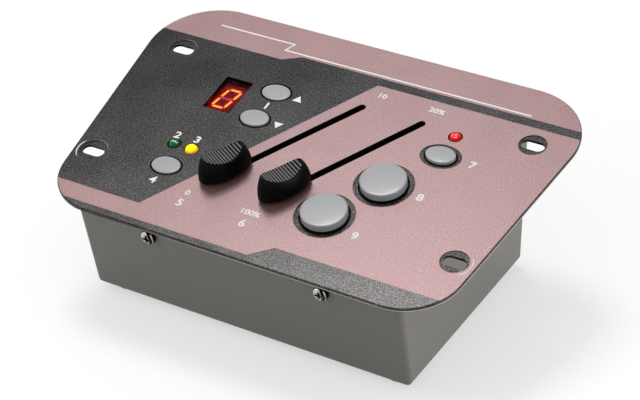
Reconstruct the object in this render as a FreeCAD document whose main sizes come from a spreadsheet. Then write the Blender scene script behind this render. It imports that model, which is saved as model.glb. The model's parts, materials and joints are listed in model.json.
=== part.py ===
"""A desk controller for strobe lights, in millimetres, +Z up, standing on its four rubber feet.

A wedge-shaped steel box carries a larger control panel that leans back by the panel tilt. Everything
on the panel is drawn in the panel frame: origin at the centre of the four mounting slots on the printed
face, X to the right, Y up the slope to the back, Z out of the face. Everything on the box is drawn in
the case frame, which has the same origin but stands upright.
"""
import FreeCAD, Part
import Sketcher
import math
import os
import re

SIZES = {
    # panel
    "panel_tilt": 12.5,
    "panel_front": 56.2,
    "panel_rear": 56.7,
    "panel_front_half_width": 75.1,
    "panel_rear_half_width": 88.2,
    "panel_front_corner": 20.0,
    "panel_rear_corner": 24.5,
    "plate_thickness": 1.0,
    "print_thickness": 0.25,
    "print_inset": 0.3,
    "flange_depth": 12.0,
    "flange_half_length": 50.0,
    # mounting slots
    "mount_half_x": 70.5,
    "mount_half_y": 29.85,
    "mount_slot_length": 8.5,
    "mount_slot_width": 4.5,
    "mount_window_radius": 5.0,
    # case
    "case_half_width": 62.6,
    "case_front": 52.8,
    "case_front_height": 40.8,
    "case_rear": 44.3,
    "case_wall": 1.2,
    "case_corner": 1.8,
    "case_screw_half_spacing": 33.5,
    "case_screw_drop": 7.2,
    "rear_screw_drop": 7.0,
    # M3 screws and nuts
    "screw_radius": 1.5,
    "screw_hole_radius": 1.7,
    "thread_clearance": 0.05,
    "screw_head_radius": 2.8,
    "screw_head_height": 2.0,
    "case_screw_length": 7.0,
    "clinch_nut_radius": 2.9,
    "clinch_nut_height": 3.0,
    # rubber feet
    "foot_height": 3.0,
    "foot_radius": 5.8,
    "foot_half_spacing_x": 54.5,
    "foot_setback": 9.5,
    "foot_stem_radius": 2.4,
    "foot_hole_radius": 2.5,
    "foot_barb_radius": 3.2,
    "foot_barb_height": 2.5,
    # circuit board
    "board_depth": 9.7,
    "board_thickness": 1.6,
    "board_side_gap": 5.4,
    "board_front_gap": 6.6,
    "board_rear_gap": 5.1,
    "spacer_inset": 5.0,
    "spacer_radius": 3.0,
    "board_screw_length": 5.0,
    # faders
    "fader_angle": 30.0,
    "fader_centre_x": 3.5,
    "fader_spacing": 23.5,
    "fader_centre_y": -0.9,
    "fader_slot_half_length": 31.9,
    "fader_slot_width": 2.9,
    "fader_rest": 24.3,
    "fader_frame_half_length": 37.5,
    "fader_frame_width": 9.0,
    "fader_frame_height": 7.0,
    "fader_frame_wall": 0.8,
    "fader_track_thickness": 1.2,
    "fader_rod_radius": 0.5,
    "fader_rod_half_spacing": 2.2,
    "fader_rod_clearance": 0.05,
    "carriage_half_length": 4.0,
    "carriage_height": 3.0,
    "carriage_gap": 0.3,
    "lever_half_width": 1.5,
    "lever_thickness": 1.2,
    "lever_height": 6.0,
    "wiper_gap": 0.1,
    "cap_gap": 0.9,
    "cap_height": 9.4,
    "cap_base_half_length": 9.8,
    "cap_base_half_width": 5.5,
    "cap_base_end_half_width": 3.2,
    "cap_top_half_length": 7.0,
    "cap_top_half_width": 4.2,
    "cap_top_end_half_width": 2.7,
    "cap_dish": 1.1,
    "cap_corner": 2.0,
    # oval buttons
    "oval_half_length": 5.45,
    "oval_half_width": 4.05,
    "oval_gap": 0.7,
    "oval_rim": 1.2,
    "chase_up_height": 0.3,
    "chase_down_height": 0.8,
    "mode_height": 0.6,
    "blackout_height": 1.2,
    "blackout_ring_half_length": 7.5,
    "blackout_ring_half_width": 5.9,
    "oval_edge": 0.35,
    "oval_socket_depth": 1.2,
    "chase_x": -25.45,
    "chase_up_y": 21.2,
    "chase_down_y": 6.0,
    "mode_x": -41.85,
    "mode_y": -26.75,
    "blackout_x": 44.15,
    "blackout_y": 13.0,
    # round buttons
    "round_radius": 8.05,
    "round_gap": 0.8,
    "round_rim": 1.2,
    "round_height": 3.0,
    "round_ring_radius": 10.56,
    "round_wall": 1.5,
    "round_edge": 0.4,
    "round_socket_depth": 2.5,
    "full_on_x": 32.8,
    "full_on_y": -6.9,
    "flash_x": 21.3,
    "flash_y": -27.3,
    # button parts that both kinds share
    "flange_gap": 0.2,
    "flange_thickness": 0.8,
    "plunger_clearance": 0.1,
    "socket_clearance": 0.05,
    "socket_wall": 1.3,
    "switch_lid": 0.6,
    "switch_floor": 0.7,
    "plunger_flange_thickness": 0.7,
    "plunger_flange_extra": 0.6,
    "small_switch_half_width": 3.0,
    "small_switch_height": 3.5,
    "small_plunger_radius": 1.6,
    "small_plunger_top": 4.0,
    "large_switch_half_width": 6.0,
    "large_switch_height": 4.5,
    "large_plunger_radius": 2.0,
    "large_plunger_top": 0.5,
    # indicator lights
    "lamp_radius": 2.45,
    "lamp_gap": 0.15,
    "lamp_rise": 1.2,
    "lamp_length": 8.7,
    "lamp_flange_radius": 2.9,
    "lamp_flange_thickness": 1.0,
    "lamp_leg_radius": 0.25,
    "lamp_leg_half_spacing": 1.27,
    "sound_lamp_x": -45.3,
    "auto_lamp_x": -38.3,
    "mode_lamp_y": -16.0,
    "blackout_lamp_x": 44.4,
    "blackout_lamp_y": 23.7,
    # display
    "display_x": -42.2,
    "display_y": 13.75,
    "window_x": -41.1,
    "window_y": 13.65,
    "window_half_width": 5.5,
    "window_half_height": 8.75,
    "filter_border": 1.5,
    "filter_thickness": 1.0,
    "display_half_width": 5.0,
    "display_half_height": 7.0,
    "display_gap": 0.05,
    "segment_thickness": 0.2,
    "digit_half_width": 2.55,
    "digit_half_height": 4.9,
    "segment_width": 0.95,
    "segment_gap": 0.15,
    "digit_slant": 0.2,
    "pin_radius": 0.25,
    "pin_pitch": 2.54,
    "pin_row_half_spacing": 3.81,
    "leg_length": 2.0,
    # parts on the underside of the board
    "chip_x": -16.0,
    "chip_y": -12.0,
    "chip_half_length": 18.0,
    "chip_half_width": 6.8,
    "chip_height": 4.0,
    "driver_x": 26.0,
    "driver_y": -6.0,
    "driver_half_length": 5.0,
    "driver_half_width": 3.2,
    "driver_height": 3.5,
    "regulator_x": 36.0,
    "regulator_y": -14.0,
    "regulator_width": 10.0,
    "regulator_depth": 4.5,
    "regulator_body_height": 9.0,
    "regulator_tab_height": 15.5,
    "regulator_tab_thickness": 1.3,
    "capacitor_radius": 4.0,
    "capacitor_height": 11.0,
    "capacitor_spacing": 10.0,
    "capacitor_x": 12.0,
    "capacitor_y": -30.0,
    "microphone_screw_gap_x": 9.0,
    "microphone_screw_gap_y": 3.0,
    "microphone_radius": 4.8,
    "microphone_height": 5.0,
    "sound_hole_radius": 0.8,
    "sound_hole_pitch": 3.0,
    # output socket and power inlet on the back wall
    "connector_drop": 27.0,
    "output_x": -28.0,
    "output_flange_half_width": 13.0,
    "output_flange_half_height": 15.5,
    "output_flange_thickness": 1.8,
    "output_flange_corner": 2.5,
    "output_barrel_radius": 11.8,
    "output_barrel_length": 18.0,
    "output_wall_gap": 0.3,
    "output_bore_radius": 9.6,
    "output_insert_radius": 8.0,
    "output_insert_depth": 12.0,
    "output_contact_circle": 3.9,
    "output_contact_radius": 1.2,
    "output_tag_length": 5.0,
    "output_screw_x": 9.5,
    "output_screw_z": 12.0,
    "output_screw_length": 7.0,
    "output_nut_radius": 3.0,
    "output_nut_height": 2.4,
    "inlet_x": 26.0,
    "inlet_flange_radius": 7.0,
    "inlet_flange_thickness": 2.0,
    "inlet_thread_radius": 5.5,
    "inlet_wall_gap": 0.2,
    "inlet_length": 13.0,
    "inlet_bore_radius": 2.8,
    "inlet_bore_depth": 9.5,
    "inlet_pin_radius": 1.05,
    "inlet_nut_radius": 7.5,
    "inlet_nut_height": 2.5,
    # internal leads
    "output_lead_radius": 1.8,
    "power_lead_radius": 1.5,
    "lead_bend": 6.0,
    "lead_rise_y": 12.0,
}

doc = FreeCAD.newDocument("strobe_controller")
sheet = doc.addObject("Spreadsheet::Sheet", "Sizes")
for row, (alias, value) in enumerate(SIZES.items(), 1):
    sheet.set(f"A{row}", alias)
    sheet.set(f"B{row}", str(value))
    sheet.setAlias(f"B{row}", alias)
doc.recompute()

Vector = FreeCAD.Vector
Constraint = Sketcher.Constraint
PARTS = []
TOLERANCE = 1e-3


# ---------------------------------------------------------------- sizes and frames

def bound(text):
    """The expression with the sheet's name put before each of its aliases."""
    def full_name(word):
        return f"Sizes.{word[0]}" if word[0] in SIZES else word[0]
    return re.sub(r"[a-z][a-z_]*", full_name, str(text))


def number(text):
    return float(sheet.evalExpression(bound(text)))


def lean(y, z):
    """The case frame's Y and Z, as expressions, of a point given in the panel frame."""
    return (f"({y}) * cos(panel_tilt) - ({z}) * sin(panel_tilt)",
            f"({y}) * sin(panel_tilt) + ({z}) * cos(panel_tilt)")


def unlean(y, z):
    """The panel frame's Y and Z, as expressions, of a point given in the case frame."""
    return (f"({y}) * cos(panel_tilt) + ({z}) * sin(panel_tilt)",
            f"-({y}) * sin(panel_tilt) + ({z}) * cos(panel_tilt)")


PANEL_THICKNESS = "(plate_thickness + print_thickness)"
UNDERSIDE = f"-{PANEL_THICKNESS}"
BOARD_TOP = "-board_depth"
BOARD_UNDERSIDE = "-(board_depth + board_thickness)"
CASE_FLOOR = lean("-case_front", "-case_front_height")[1]
REAR_WALL_INSIDE = "(case_rear - case_wall)"
BOARD_HALF_WIDTH = "(case_half_width - case_wall - board_side_gap)"
BOARD_FRONT = "(case_front - case_wall - plate_thickness - board_front_gap)"
BOARD_REAR = f"({REAR_WALL_INSIDE} - plate_thickness - board_rear_gap)"
BOARD_SCREW_X = f"({BOARD_HALF_WIDTH} - spacer_inset)"
BOARD_SCREW_Y = (f"-({BOARD_FRONT} - spacer_inset)", f"({BOARD_REAR} - spacer_inset)")
MICROPHONE = (f"({BOARD_SCREW_X} - microphone_screw_gap_x)", f"({BOARD_SCREW_Y[1]} - microphone_screw_gap_y)")
UNDERSIDE_AT_REAR_WALL = f"{REAR_WALL_INSIDE} * tan(panel_tilt) - {PANEL_THICKNESS} / cos(panel_tilt)"
REAR_SCREW_HEIGHT = f"({UNDERSIDE_AT_REAR_WALL} - rear_screw_drop)"
CONNECTOR_HEIGHT = f"({UNDERSIDE_AT_REAR_WALL} - connector_drop)"
SOUND_HOLE_HEIGHT = lean(MICROPHONE[1], "-(board_depth + board_thickness + microphone_height / 2)")[1]
FRONT_FOOT_Y = f"({lean('-case_front', '-case_front_height')[0]} + foot_setback)"
REAR_FOOT_Y = "(case_rear - foot_setback)"
OUTPUT_SCREWS = [("output_screw_x", "output_screw_z"), ("-output_screw_x", "-output_screw_z")]
OUTPUT_CONTACTS = [("output_contact_circle", "0"), ("-output_contact_circle", "0"),
                   ("0", "output_contact_circle")]

# The part's origin is on the tabletop, under the middle of the panel's reach from front to back.
panel_rear_reach = number(lean("panel_rear", UNDERSIDE)[0])
panel_front_reach = number(lean("-panel_front", "-print_thickness")[0])
panel_height = number(f"foot_height - ({CASE_FLOOR})")
origin = Vector(0, -(panel_rear_reach + panel_front_reach) / 2, panel_height)
case_frame = FreeCAD.Placement(origin, FreeCAD.Rotation())
panel_frame = FreeCAD.Placement(origin, FreeCAD.Rotation(Vector(1, 0, 0), number("panel_tilt")))

UPRIGHT = FreeCAD.Rotation()
TO_FRONT = FreeCAD.Rotation(Vector(1, 0, 0), 90)
TO_REAR = FreeCAD.Rotation(Vector(1, 0, 0), -90)
DOWN = FreeCAD.Rotation(Vector(1, 0, 0), 180)


def place(part, frame, x="0", y="0", z="0", turn=UPRIGHT):
    part.Placement = frame * FreeCAD.Placement(Vector(number(x), number(y), number(z)), turn)
    return part


# ---------------------------------------------------------------- sketches

def new_body(label, several=False):
    body = doc.addObject("PartDesign::Body", label)
    body.Label = label
    body.AllowCompound = several
    PARTS.append(body)
    return body


def origin_feature(body, role):
    return next(feature for feature in body.Origin.OriginFeatures if feature.Role == role)


def new_sketch(body, plane="XY_Plane", offset="0", turn=None):
    """A sketch on an origin plane, moved along its normal and, if asked, turned about its own X."""
    sketch = body.newObject("Sketcher::SketchObject", f"{body.Label}_sketch")
    sketch.AttachmentSupport = (origin_feature(body, plane), [""])
    sketch.MapMode = "FlatFace"
    if turn is not None:
        sketch.AttachmentOffset = FreeCAD.Placement(Vector(), FreeCAD.Rotation(Vector(1, 0, 0), number(turn)))
        sketch.setExpression("AttachmentOffset.Rotation.Angle", bound(turn))
    sketch.setExpression("AttachmentOffset.Base.z", bound(offset))
    return sketch


def dimension(sketch, kind, *where, size):
    index = sketch.addConstraint(Constraint(kind, *where, number(size)))
    sketch.setExpression(f"Constraints[{index}]", bound(size))


def locate(sketch, geometry, point, x, y):
    dimension(sketch, "DistanceX", -1, 1, geometry, point, size=x)
    dimension(sketch, "DistanceY", -1, 1, geometry, point, size=y)


def draw_polygon(sketch, corners):
    first = sketch.GeometryCount
    count = len(corners)
    points = [Vector(number(x), number(y), 0) for x, y in corners]
    for index in range(count):
        sketch.addGeometry(Part.LineSegment(points[index], points[(index + 1) % count]), False)
    for index in range(count):
        sketch.addConstraint(Constraint("Coincident", first + index, 2, first + (index + 1) % count, 1))
    for index, (x, y) in enumerate(corners):
        locate(sketch, first + index, 1, x, y)


def draw_rectangle(sketch, half_x, half_y, x="0", y="0"):
    left, right = f"{x} - ({half_x})", f"{x} + ({half_x})"
    low, high = f"{y} - ({half_y})", f"{y} + ({half_y})"
    draw_polygon(sketch, [(left, low), (right, low), (right, high), (left, high)])


def draw_circle(sketch, radius, x="0", y="0"):
    centre = Vector(number(x), number(y), 0)
    circle = sketch.addGeometry(Part.Circle(centre, Vector(0, 0, 1), number(radius)), False)
    dimension(sketch, "Radius", circle, size=radius)
    locate(sketch, circle, 3, x, y)


def draw_cross(sketch, reach, half_width, x, y):
    """The plus-shaped recess of a cross-head screw."""
    signs = [(1, 1), (-1, 1), (-1, -1), (1, -1)]
    corners = []
    for sign_x, sign_y in signs:
        along_x = (f"{x} + {sign_x} * {reach}", f"{y} + {sign_y} * {half_width}")
        inner = (f"{x} + {sign_x} * {half_width}", f"{y} + {sign_y} * {half_width}")
        along_y = (f"{x} + {sign_x} * {half_width}", f"{y} + {sign_y} * {reach}")
        corners += [along_x, inner, along_y] if sign_x == sign_y else [along_y, inner, along_x]
    draw_polygon(sketch, corners)


def draw_ellipse(sketch, half_long, half_short, x="0", y="0"):
    centre = Vector(number(x), number(y), 0)
    ellipse = sketch.addGeometry(Part.Ellipse(centre, number(half_long), number(half_short)), False)
    sketch.exposeInternalGeometry(ellipse)
    long_axis, short_axis = ellipse + 1, ellipse + 2
    dimension(sketch, "Distance", long_axis, size=f"2 * ({half_long})")
    dimension(sketch, "Distance", short_axis, size=f"2 * ({half_short})")
    sketch.addConstraint(Constraint("Horizontal", long_axis))
    locate(sketch, ellipse, 3, x, y)


def draw_slot(sketch, half_length, radius, x="0", y="0", angle="0"):
    """A slot with round ends; its length runs at the angle from the sketch's X."""
    reach = f"(({half_length}) - ({radius}))"
    ends = [(f"{x} + {reach} * cos({angle})", f"{y} + {reach} * sin({angle})"),
            (f"{x} - {reach} * cos({angle})", f"{y} - {reach} * sin({angle})")]
    centres = [Vector(number(end_x), number(end_y), 0) for end_x, end_y in ends]
    turn = math.radians(number(angle))
    quarter = math.pi / 2
    side = Vector(-math.sin(turn), math.cos(turn), 0) * number(radius)
    first = sketch.GeometryCount
    for centre, start in zip(centres, (turn - quarter, turn + quarter)):
        circle = Part.Circle(centre, Vector(0, 0, 1), number(radius))
        sketch.addGeometry(Part.ArcOfCircle(circle, start, start + math.pi), False)
    sketch.addGeometry(Part.LineSegment(centres[0] + side, centres[1] + side), False)
    sketch.addGeometry(Part.LineSegment(centres[1] - side, centres[0] - side), False)
    near_arc, far_arc, upper_line, lower_line = range(first, first + 4)
    for join in ((near_arc, 2, upper_line, 1), (upper_line, 2, far_arc, 1),
                 (far_arc, 2, lower_line, 1), (lower_line, 2, near_arc, 1)):
        sketch.addConstraint(Constraint("Tangent", *join))
    sketch.addConstraint(Constraint("Equal", near_arc, far_arc))
    dimension(sketch, "Radius", near_arc, size=radius)
    for arc, (end_x, end_y) in zip((near_arc, far_arc), ends):
        locate(sketch, arc, 3, end_x, end_y)


# ---------------------------------------------------------------- features

def finish(body, feature):
    body.Tip = feature
    doc.recompute()
    return feature


def pad(body, sketch, length, side="One side", down=False):
    feature = body.newObject("PartDesign::Pad", f"{body.Label}_pad")
    feature.Profile = sketch
    feature.SideType = side
    feature.Reversed = down
    feature.setExpression("Length", bound(length))
    return finish(body, feature)


def pocket(body, sketch, length=None, side="Symmetric", reverse=False):
    """Cuts the sketch out of the body, right through it unless a length is given."""
    before = body.Tip.Shape.Volume
    feature = body.newObject("PartDesign::Pocket", f"{body.Label}_pocket")
    feature.Profile = sketch
    feature.SideType = side
    feature.Reversed = reverse
    if length is None:
        feature.Type = "ThroughAll"
    else:
        feature.Type = "Length"
        feature.setExpression("Length", bound(length))
    finish(body, feature)
    if feature.Shape.Volume > before - TOLERANCE:
        raise ValueError(f"{feature.Label} cuts nothing")
    return feature


def revolve(body, corners):
    """Turns a half outline, given as radius and height, about the body's Z axis."""
    sketch = new_sketch(body, "XZ_Plane")
    draw_polygon(sketch, corners)
    feature = body.newObject("PartDesign::Revolution", f"{body.Label}_revolution")
    feature.Profile = sketch
    feature.ReferenceAxis = (sketch, ["V_Axis"])
    feature.Angle = 360
    return finish(body, feature)


def fillet(body, radius, wanted):
    """Rounds the edges of the body so far that the test wanted picks."""
    base = body.Tip
    names = [f"Edge{index}" for index, edge in enumerate(base.Shape.Edges, 1) if wanted(edge)]
    if not names:
        raise ValueError(f"{body.Label} has no edge to round")
    feature = body.newObject("PartDesign::Fillet", f"{body.Label}_fillet")
    feature.Base = (base, names)
    feature.setExpression("Radius", bound(radius))
    return finish(body, feature)


def repeat_in_corners(body, spacing_x, spacing_y):
    """Copies the whole body to the four corners of a rectangle; the body is at the lowest of them."""
    feature = body.newObject("PartDesign::LinearPattern", f"{body.Label}_pattern")
    feature.TransformMode = "Whole shape"
    for suffix, axis, spacing in (("", "X_Axis", spacing_x), ("2", "Y_Axis", spacing_y)):
        setattr(feature, f"Direction{suffix}", (origin_feature(body, axis), [""]))
        feature.setExpression(f"Length{suffix}", bound(spacing))
        setattr(feature, f"Occurrences{suffix}", 2)
    return finish(body, feature)


def edge_at(edge, axis, position):
    """Whether every end of the edge has that position on the axis (0, 1 or 2)."""
    return all(abs(vertex.Point[axis] - position) < TOLERANCE for vertex in edge.Vertexes)


def runs_along(edge, axis):
    if len(edge.Vertexes) < 2:
        return False
    run = edge.Vertexes[1].Point - edge.Vertexes[0].Point
    return run.Length > TOLERANCE and abs(abs(run[axis]) - run.Length) < TOLERANCE


# ---------------------------------------------------------------- controls on the panel

FADER_DIRECTION = "(90 - fader_angle)"
FADER_SLOT_RADIUS = "fader_slot_width / 2"
FADERS = {"speed": "fader_centre_x - fader_spacing / 2", "dimmer": "fader_centre_x + fader_spacing / 2"}
OVAL_BUTTONS = {
    "chase_up": ("chase_x", "chase_up_y", "chase_up_height"),
    "chase_down": ("chase_x", "chase_down_y", "chase_down_height"),
    "mode": ("mode_x", "mode_y", "mode_height"),
    "blackout": ("blackout_x", "blackout_y", "blackout_height"),
}
ROUND_BUTTONS = {"full_on": ("full_on_x", "full_on_y"), "single_flash": ("flash_x", "flash_y")}
LAMPS = {
    "sound": ("sound_lamp_x", "mode_lamp_y"),
    "auto": ("auto_lamp_x", "mode_lamp_y"),
    "blackout": ("blackout_lamp_x", "blackout_lamp_y"),
}
OVAL_HOLE = ("oval_half_length + oval_gap", "oval_half_width + oval_gap")
BLACKOUT_RING = ("blackout_ring_half_length", "blackout_ring_half_width")
LAMP_LEGS = [(f"{x} + {side} * lamp_leg_half_spacing", y) for x, y in LAMPS.values() for side in (-1, 1)]
DISPLAY_PINS = [(f"display_x + {side} * pin_row_half_spacing", f"display_y + {step} * pin_pitch")
                for side in (-1, 1) for step in range(-2, 3)]
MOUNT_SLOTS = [(f"{x} * mount_half_x", f"{y} * mount_half_y") for x in (-1, 1) for y in (-1, 1)]
PANEL_OUTLINE = [("-panel_front_half_width", "-panel_front"), ("panel_front_half_width", "-panel_front"),
                 ("panel_rear_half_width", "panel_rear"), ("-panel_rear_half_width", "panel_rear")]


def cut_controls(body, blackout_hole, round_hole_radius):
    """The holes that the plate and the printed sheet share."""
    sketch = new_sketch(body)
    for x in FADERS.values():
        draw_slot(sketch, "fader_slot_half_length", FADER_SLOT_RADIUS, x, "fader_centre_y", FADER_DIRECTION)
    draw_rectangle(sketch, "window_half_width", "window_half_height", "window_x", "window_y")
    for x, y in LAMPS.values():
        draw_circle(sketch, "lamp_radius + lamp_gap", x, y)
    for x, y in ROUND_BUTTONS.values():
        draw_circle(sketch, round_hole_radius, x, y)
    for name, (x, y, _) in OVAL_BUTTONS.items():
        half_length, half_width = blackout_hole if name == "blackout" else OVAL_HOLE
        draw_ellipse(sketch, half_length, half_width, x, y)
    pocket(body, sketch)


def round_panel_corners(body, inset):
    rear = f"panel_rear - {inset}"
    fillet(body, f"panel_rear_corner - {inset}",
           lambda edge: runs_along(edge, 2) and edge_at(edge, 1, number(rear)))
    front = f"-(panel_front - {inset})"
    fillet(body, f"panel_front_corner - {inset}",
           lambda edge: runs_along(edge, 2) and edge_at(edge, 1, number(front)))


def make_printed_sheet():
    body = new_body("printed_sheet")
    sketch = new_sketch(body)
    draw_polygon(sketch, [(f"{x} {'+' if x[0] == '-' else '-'} print_inset",
                           f"{y} {'+' if y[0] == '-' else '-'} print_inset") for x, y in PANEL_OUTLINE])
    pad(body, sketch, "print_thickness", down=True)
    round_panel_corners(body, "print_inset")
    sketch = new_sketch(body)
    for x, y in MOUNT_SLOTS:
        draw_circle(sketch, "mount_window_radius", x, y)
    pocket(body, sketch)
    cut_controls(body, BLACKOUT_RING, "round_ring_radius")
    return place(body, panel_frame)


def make_control_panel():
    """The steel plate, with a flange folded down behind the case's front wall and one at its back wall."""
    body = new_body("control_panel")
    sketch = new_sketch(body, offset="-print_thickness")
    draw_polygon(sketch, PANEL_OUTLINE)
    pad(body, sketch, "plate_thickness", down=True)
    round_panel_corners(body, "0")
    in_plate = "(print_thickness + plate_thickness / 2)"
    outside = "(-case_front + case_wall)"
    inside = f"({outside} + plate_thickness)"
    sketch = new_sketch(body, "YZ_Plane")
    draw_polygon(sketch, [(outside, f"-{in_plate}"), (outside, f"{UNDERSIDE} - flange_depth"),
                          (inside, f"{UNDERSIDE} - flange_depth"), (inside, f"-{in_plate}")])
    pad(body, sketch, "2 * flange_half_length", side="Symmetric")
    outside = REAR_WALL_INSIDE
    inside = f"({outside} - plate_thickness)"
    foot = f"({UNDERSIDE_AT_REAR_WALL} - flange_depth)"
    outside_top = f"{outside} * tan(panel_tilt) - {in_plate} / cos(panel_tilt)"
    inside_top = f"{inside} * tan(panel_tilt) - {in_plate} / cos(panel_tilt)"
    sketch = new_sketch(body, "YZ_Plane")
    draw_polygon(sketch, [unlean(outside, outside_top), unlean(outside, foot),
                          unlean(inside, foot), unlean(inside, inside_top)])
    pad(body, sketch, "2 * flange_half_length", side="Symmetric")
    sketch = new_sketch(body)
    for x, y in MOUNT_SLOTS:
        draw_slot(sketch, "mount_slot_length / 2", "mount_slot_width / 2", x, y)
    pocket(body, sketch)
    cut_controls(body, OVAL_HOLE, "round_radius + round_gap")
    sketch = new_sketch(body, "XZ_Plane", offset="case_front")
    for side in (-1, 1):
        draw_circle(sketch, "screw_hole_radius", f"{side} * case_screw_half_spacing", "-case_screw_drop")
    pocket(body, sketch, "2 * (case_wall + plate_thickness)", side="One side")
    sketch = new_sketch(body, "XZ_Plane", offset=f"-{REAR_WALL_INSIDE} * cos(panel_tilt)", turn="-panel_tilt")
    sketch.setExpression("AttachmentOffset.Base.y", bound(f"-{REAR_WALL_INSIDE} * sin(panel_tilt)"))
    for side in (-1, 1):
        draw_circle(sketch, "screw_hole_radius", f"{side} * case_screw_half_spacing", REAR_SCREW_HEIGHT)
    pocket(body, sketch, "4 * plate_thickness")
    return place(body, panel_frame)


def make_case():
    """The folded steel box, open at the top, where the panel closes it."""
    body = new_body("case")
    sketch = new_sketch(body, "YZ_Plane")
    draw_polygon(sketch, [lean("-case_front", "-case_front_height"), ("case_rear", CASE_FLOOR),
                          ("case_rear", f"case_rear * tan(panel_tilt) - {PANEL_THICKNESS} / cos(panel_tilt)"),
                          lean("-case_front", UNDERSIDE)])
    pad(body, sketch, "2 * case_half_width", side="Symmetric")
    inside_front = "(-case_front + case_wall)"
    inside_floor = f"({CASE_FLOOR} + case_wall)"
    floor_drop = f"({inside_floor} - {inside_front} * sin(panel_tilt)) / cos(panel_tilt)"
    above_rim = f"{REAR_WALL_INSIDE} * tan(panel_tilt)"
    sketch = new_sketch(body, "YZ_Plane")
    draw_polygon(sketch, [lean(inside_front, floor_drop), (REAR_WALL_INSIDE, inside_floor),
                          (REAR_WALL_INSIDE, above_rim), lean(inside_front, "0")])
    pocket(body, sketch, "2 * (case_half_width - case_wall)")
    tilt = math.radians(number("panel_tilt"))
    rim = number(UNDERSIDE)

    def bends(half_width):
        """The test for the case's bend edges: on that half width, and not along the rim."""
        def wanted(edge):
            points = [vertex.Point for vertex in edge.Vertexes]
            heights = [point.z * math.cos(tilt) - point.y * math.sin(tilt) for point in points]
            along_rim = all(abs(height - rim) < TOLERANCE for height in heights)
            return not along_rim and all(abs(abs(point.x) - half_width) < TOLERANCE for point in points)
        return wanted

    fillet(body, "case_corner", bends(number("case_half_width")))
    fillet(body, "case_corner - case_wall", bends(number("case_half_width - case_wall")))
    # front wall: case screws
    sketch = new_sketch(body, "XZ_Plane", offset="case_front * cos(panel_tilt)", turn="panel_tilt")
    sketch.setExpression("AttachmentOffset.Base.y", bound("-case_front * sin(panel_tilt)"))
    for side in (-1, 1):
        draw_circle(sketch, "screw_hole_radius", f"{side} * case_screw_half_spacing", "-case_screw_drop")
    pocket(body, sketch, "4 * case_wall")
    # back wall: case screws, output socket, power inlet, sound holes
    sketch = new_sketch(body, "XZ_Plane", offset="-case_rear")
    for side in (-1, 1):
        draw_circle(sketch, "screw_hole_radius", f"{side} * case_screw_half_spacing", REAR_SCREW_HEIGHT)
    draw_circle(sketch, "output_barrel_radius + output_wall_gap", "output_x", CONNECTOR_HEIGHT)
    for x, z in OUTPUT_SCREWS:
        draw_circle(sketch, "screw_hole_radius", f"output_x + {x}", f"{CONNECTOR_HEIGHT} + {z}")
    draw_circle(sketch, "inlet_thread_radius + inlet_wall_gap", "inlet_x", CONNECTOR_HEIGHT)
    for step in (-1, 0, 1):
        x = f"{MICROPHONE[0]} + {step} * sound_hole_pitch"
        draw_circle(sketch, "sound_hole_radius", x, SOUND_HOLE_HEIGHT)
    pocket(body, sketch, "4 * case_wall")
    # floor: foot stems
    sketch = new_sketch(body, offset=CASE_FLOOR)
    for x in ("-foot_half_spacing_x", "foot_half_spacing_x"):
        for y in (FRONT_FOOT_Y, REAR_FOOT_Y):
            draw_circle(sketch, "foot_hole_radius", x, y)
    pocket(body, sketch, "4 * case_wall")
    return place(body, case_frame)


def make_rubber_feet():
    """Four push-in feet; a barb above the case floor holds each one."""
    body = new_body("rubber_feet", several=True)
    top = "(foot_height + case_wall)"
    barb_top = f"({top} + foot_barb_height)"
    revolve(body, [("0", "0"), ("foot_radius - 0.1 * foot_height", "0"), ("foot_radius", "0.3 * foot_height"),
                   ("0.95 * foot_radius", "foot_height"), ("foot_stem_radius", "foot_height"),
                   ("foot_stem_radius", top), ("foot_barb_radius", top),
                   ("0.7 * foot_stem_radius", barb_top), ("0", barb_top)])
    repeat_in_corners(body, "2 * foot_half_spacing_x", f"{REAR_FOOT_Y} - {FRONT_FOOT_Y}")
    return place(body, case_frame, "-foot_half_spacing_x", FRONT_FOOT_Y, f"{CASE_FLOOR} - foot_height")


# ---------------------------------------------------------------- screws and nuts

def make_screws(label, places, length, frame, x="0", y="0", z="0", turn=UPRIGHT):
    """Pan-head cross-recess screws, heads up, their seats in the local XY plane."""
    body = new_body(label, several=True)
    sketch = new_sketch(body)
    for place_x, place_y in places:
        draw_circle(sketch, "screw_head_radius", place_x, place_y)
    pad(body, sketch, "screw_head_height")
    head_top = number("screw_head_height")
    fillet(body, "0.45 * screw_head_height", lambda edge: edge_at(edge, 2, head_top))
    sketch = new_sketch(body)
    for place_x, place_y in places:
        draw_circle(sketch, "screw_radius", place_x, place_y)
    pad(body, sketch, length, down=True)
    sketch = new_sketch(body, offset="screw_head_height")
    for place_x, place_y in places:
        draw_cross(sketch, "0.55 * screw_head_radius", "0.17 * screw_head_radius", place_x, place_y)
    pocket(body, sketch, "0.6 * screw_head_height", side="One side")
    return place(body, frame, x, y, z, turn)


def make_rings(label, places, outer, inner, height, frame, x="0", y="0", z="0", turn=UPRIGHT, sides=0):
    """Round or six-sided rings whose tops are in the local XY plane: nuts and spacers."""
    body = new_body(label, several=True)
    sketch = new_sketch(body)
    for place_x, place_y in places:
        if sides:
            angles = [step * 360 / sides for step in range(sides)]
            corners = [(f"{place_x} + {outer} * cos({angle})", f"{place_y} + {outer} * sin({angle})")
                       for angle in angles]
            draw_polygon(sketch, corners)
        else:
            draw_circle(sketch, outer, place_x, place_y)
        draw_circle(sketch, inner, place_x, place_y)
    pad(body, sketch, height, down=True)
    return place(body, frame, x, y, z, turn)


CASE_SCREWS = [("-case_screw_half_spacing", "0"), ("case_screw_half_spacing", "0")]
THREAD_HOLE = "screw_radius + thread_clearance"
BOARD_SCREWS = [(f"{side} * {BOARD_SCREW_X}", y) for side in (-1, 1) for y in BOARD_SCREW_Y]
BOARD_SCREWS_FROM_BELOW = [(x, f"-({y})") for x, y in BOARD_SCREWS]


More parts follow.
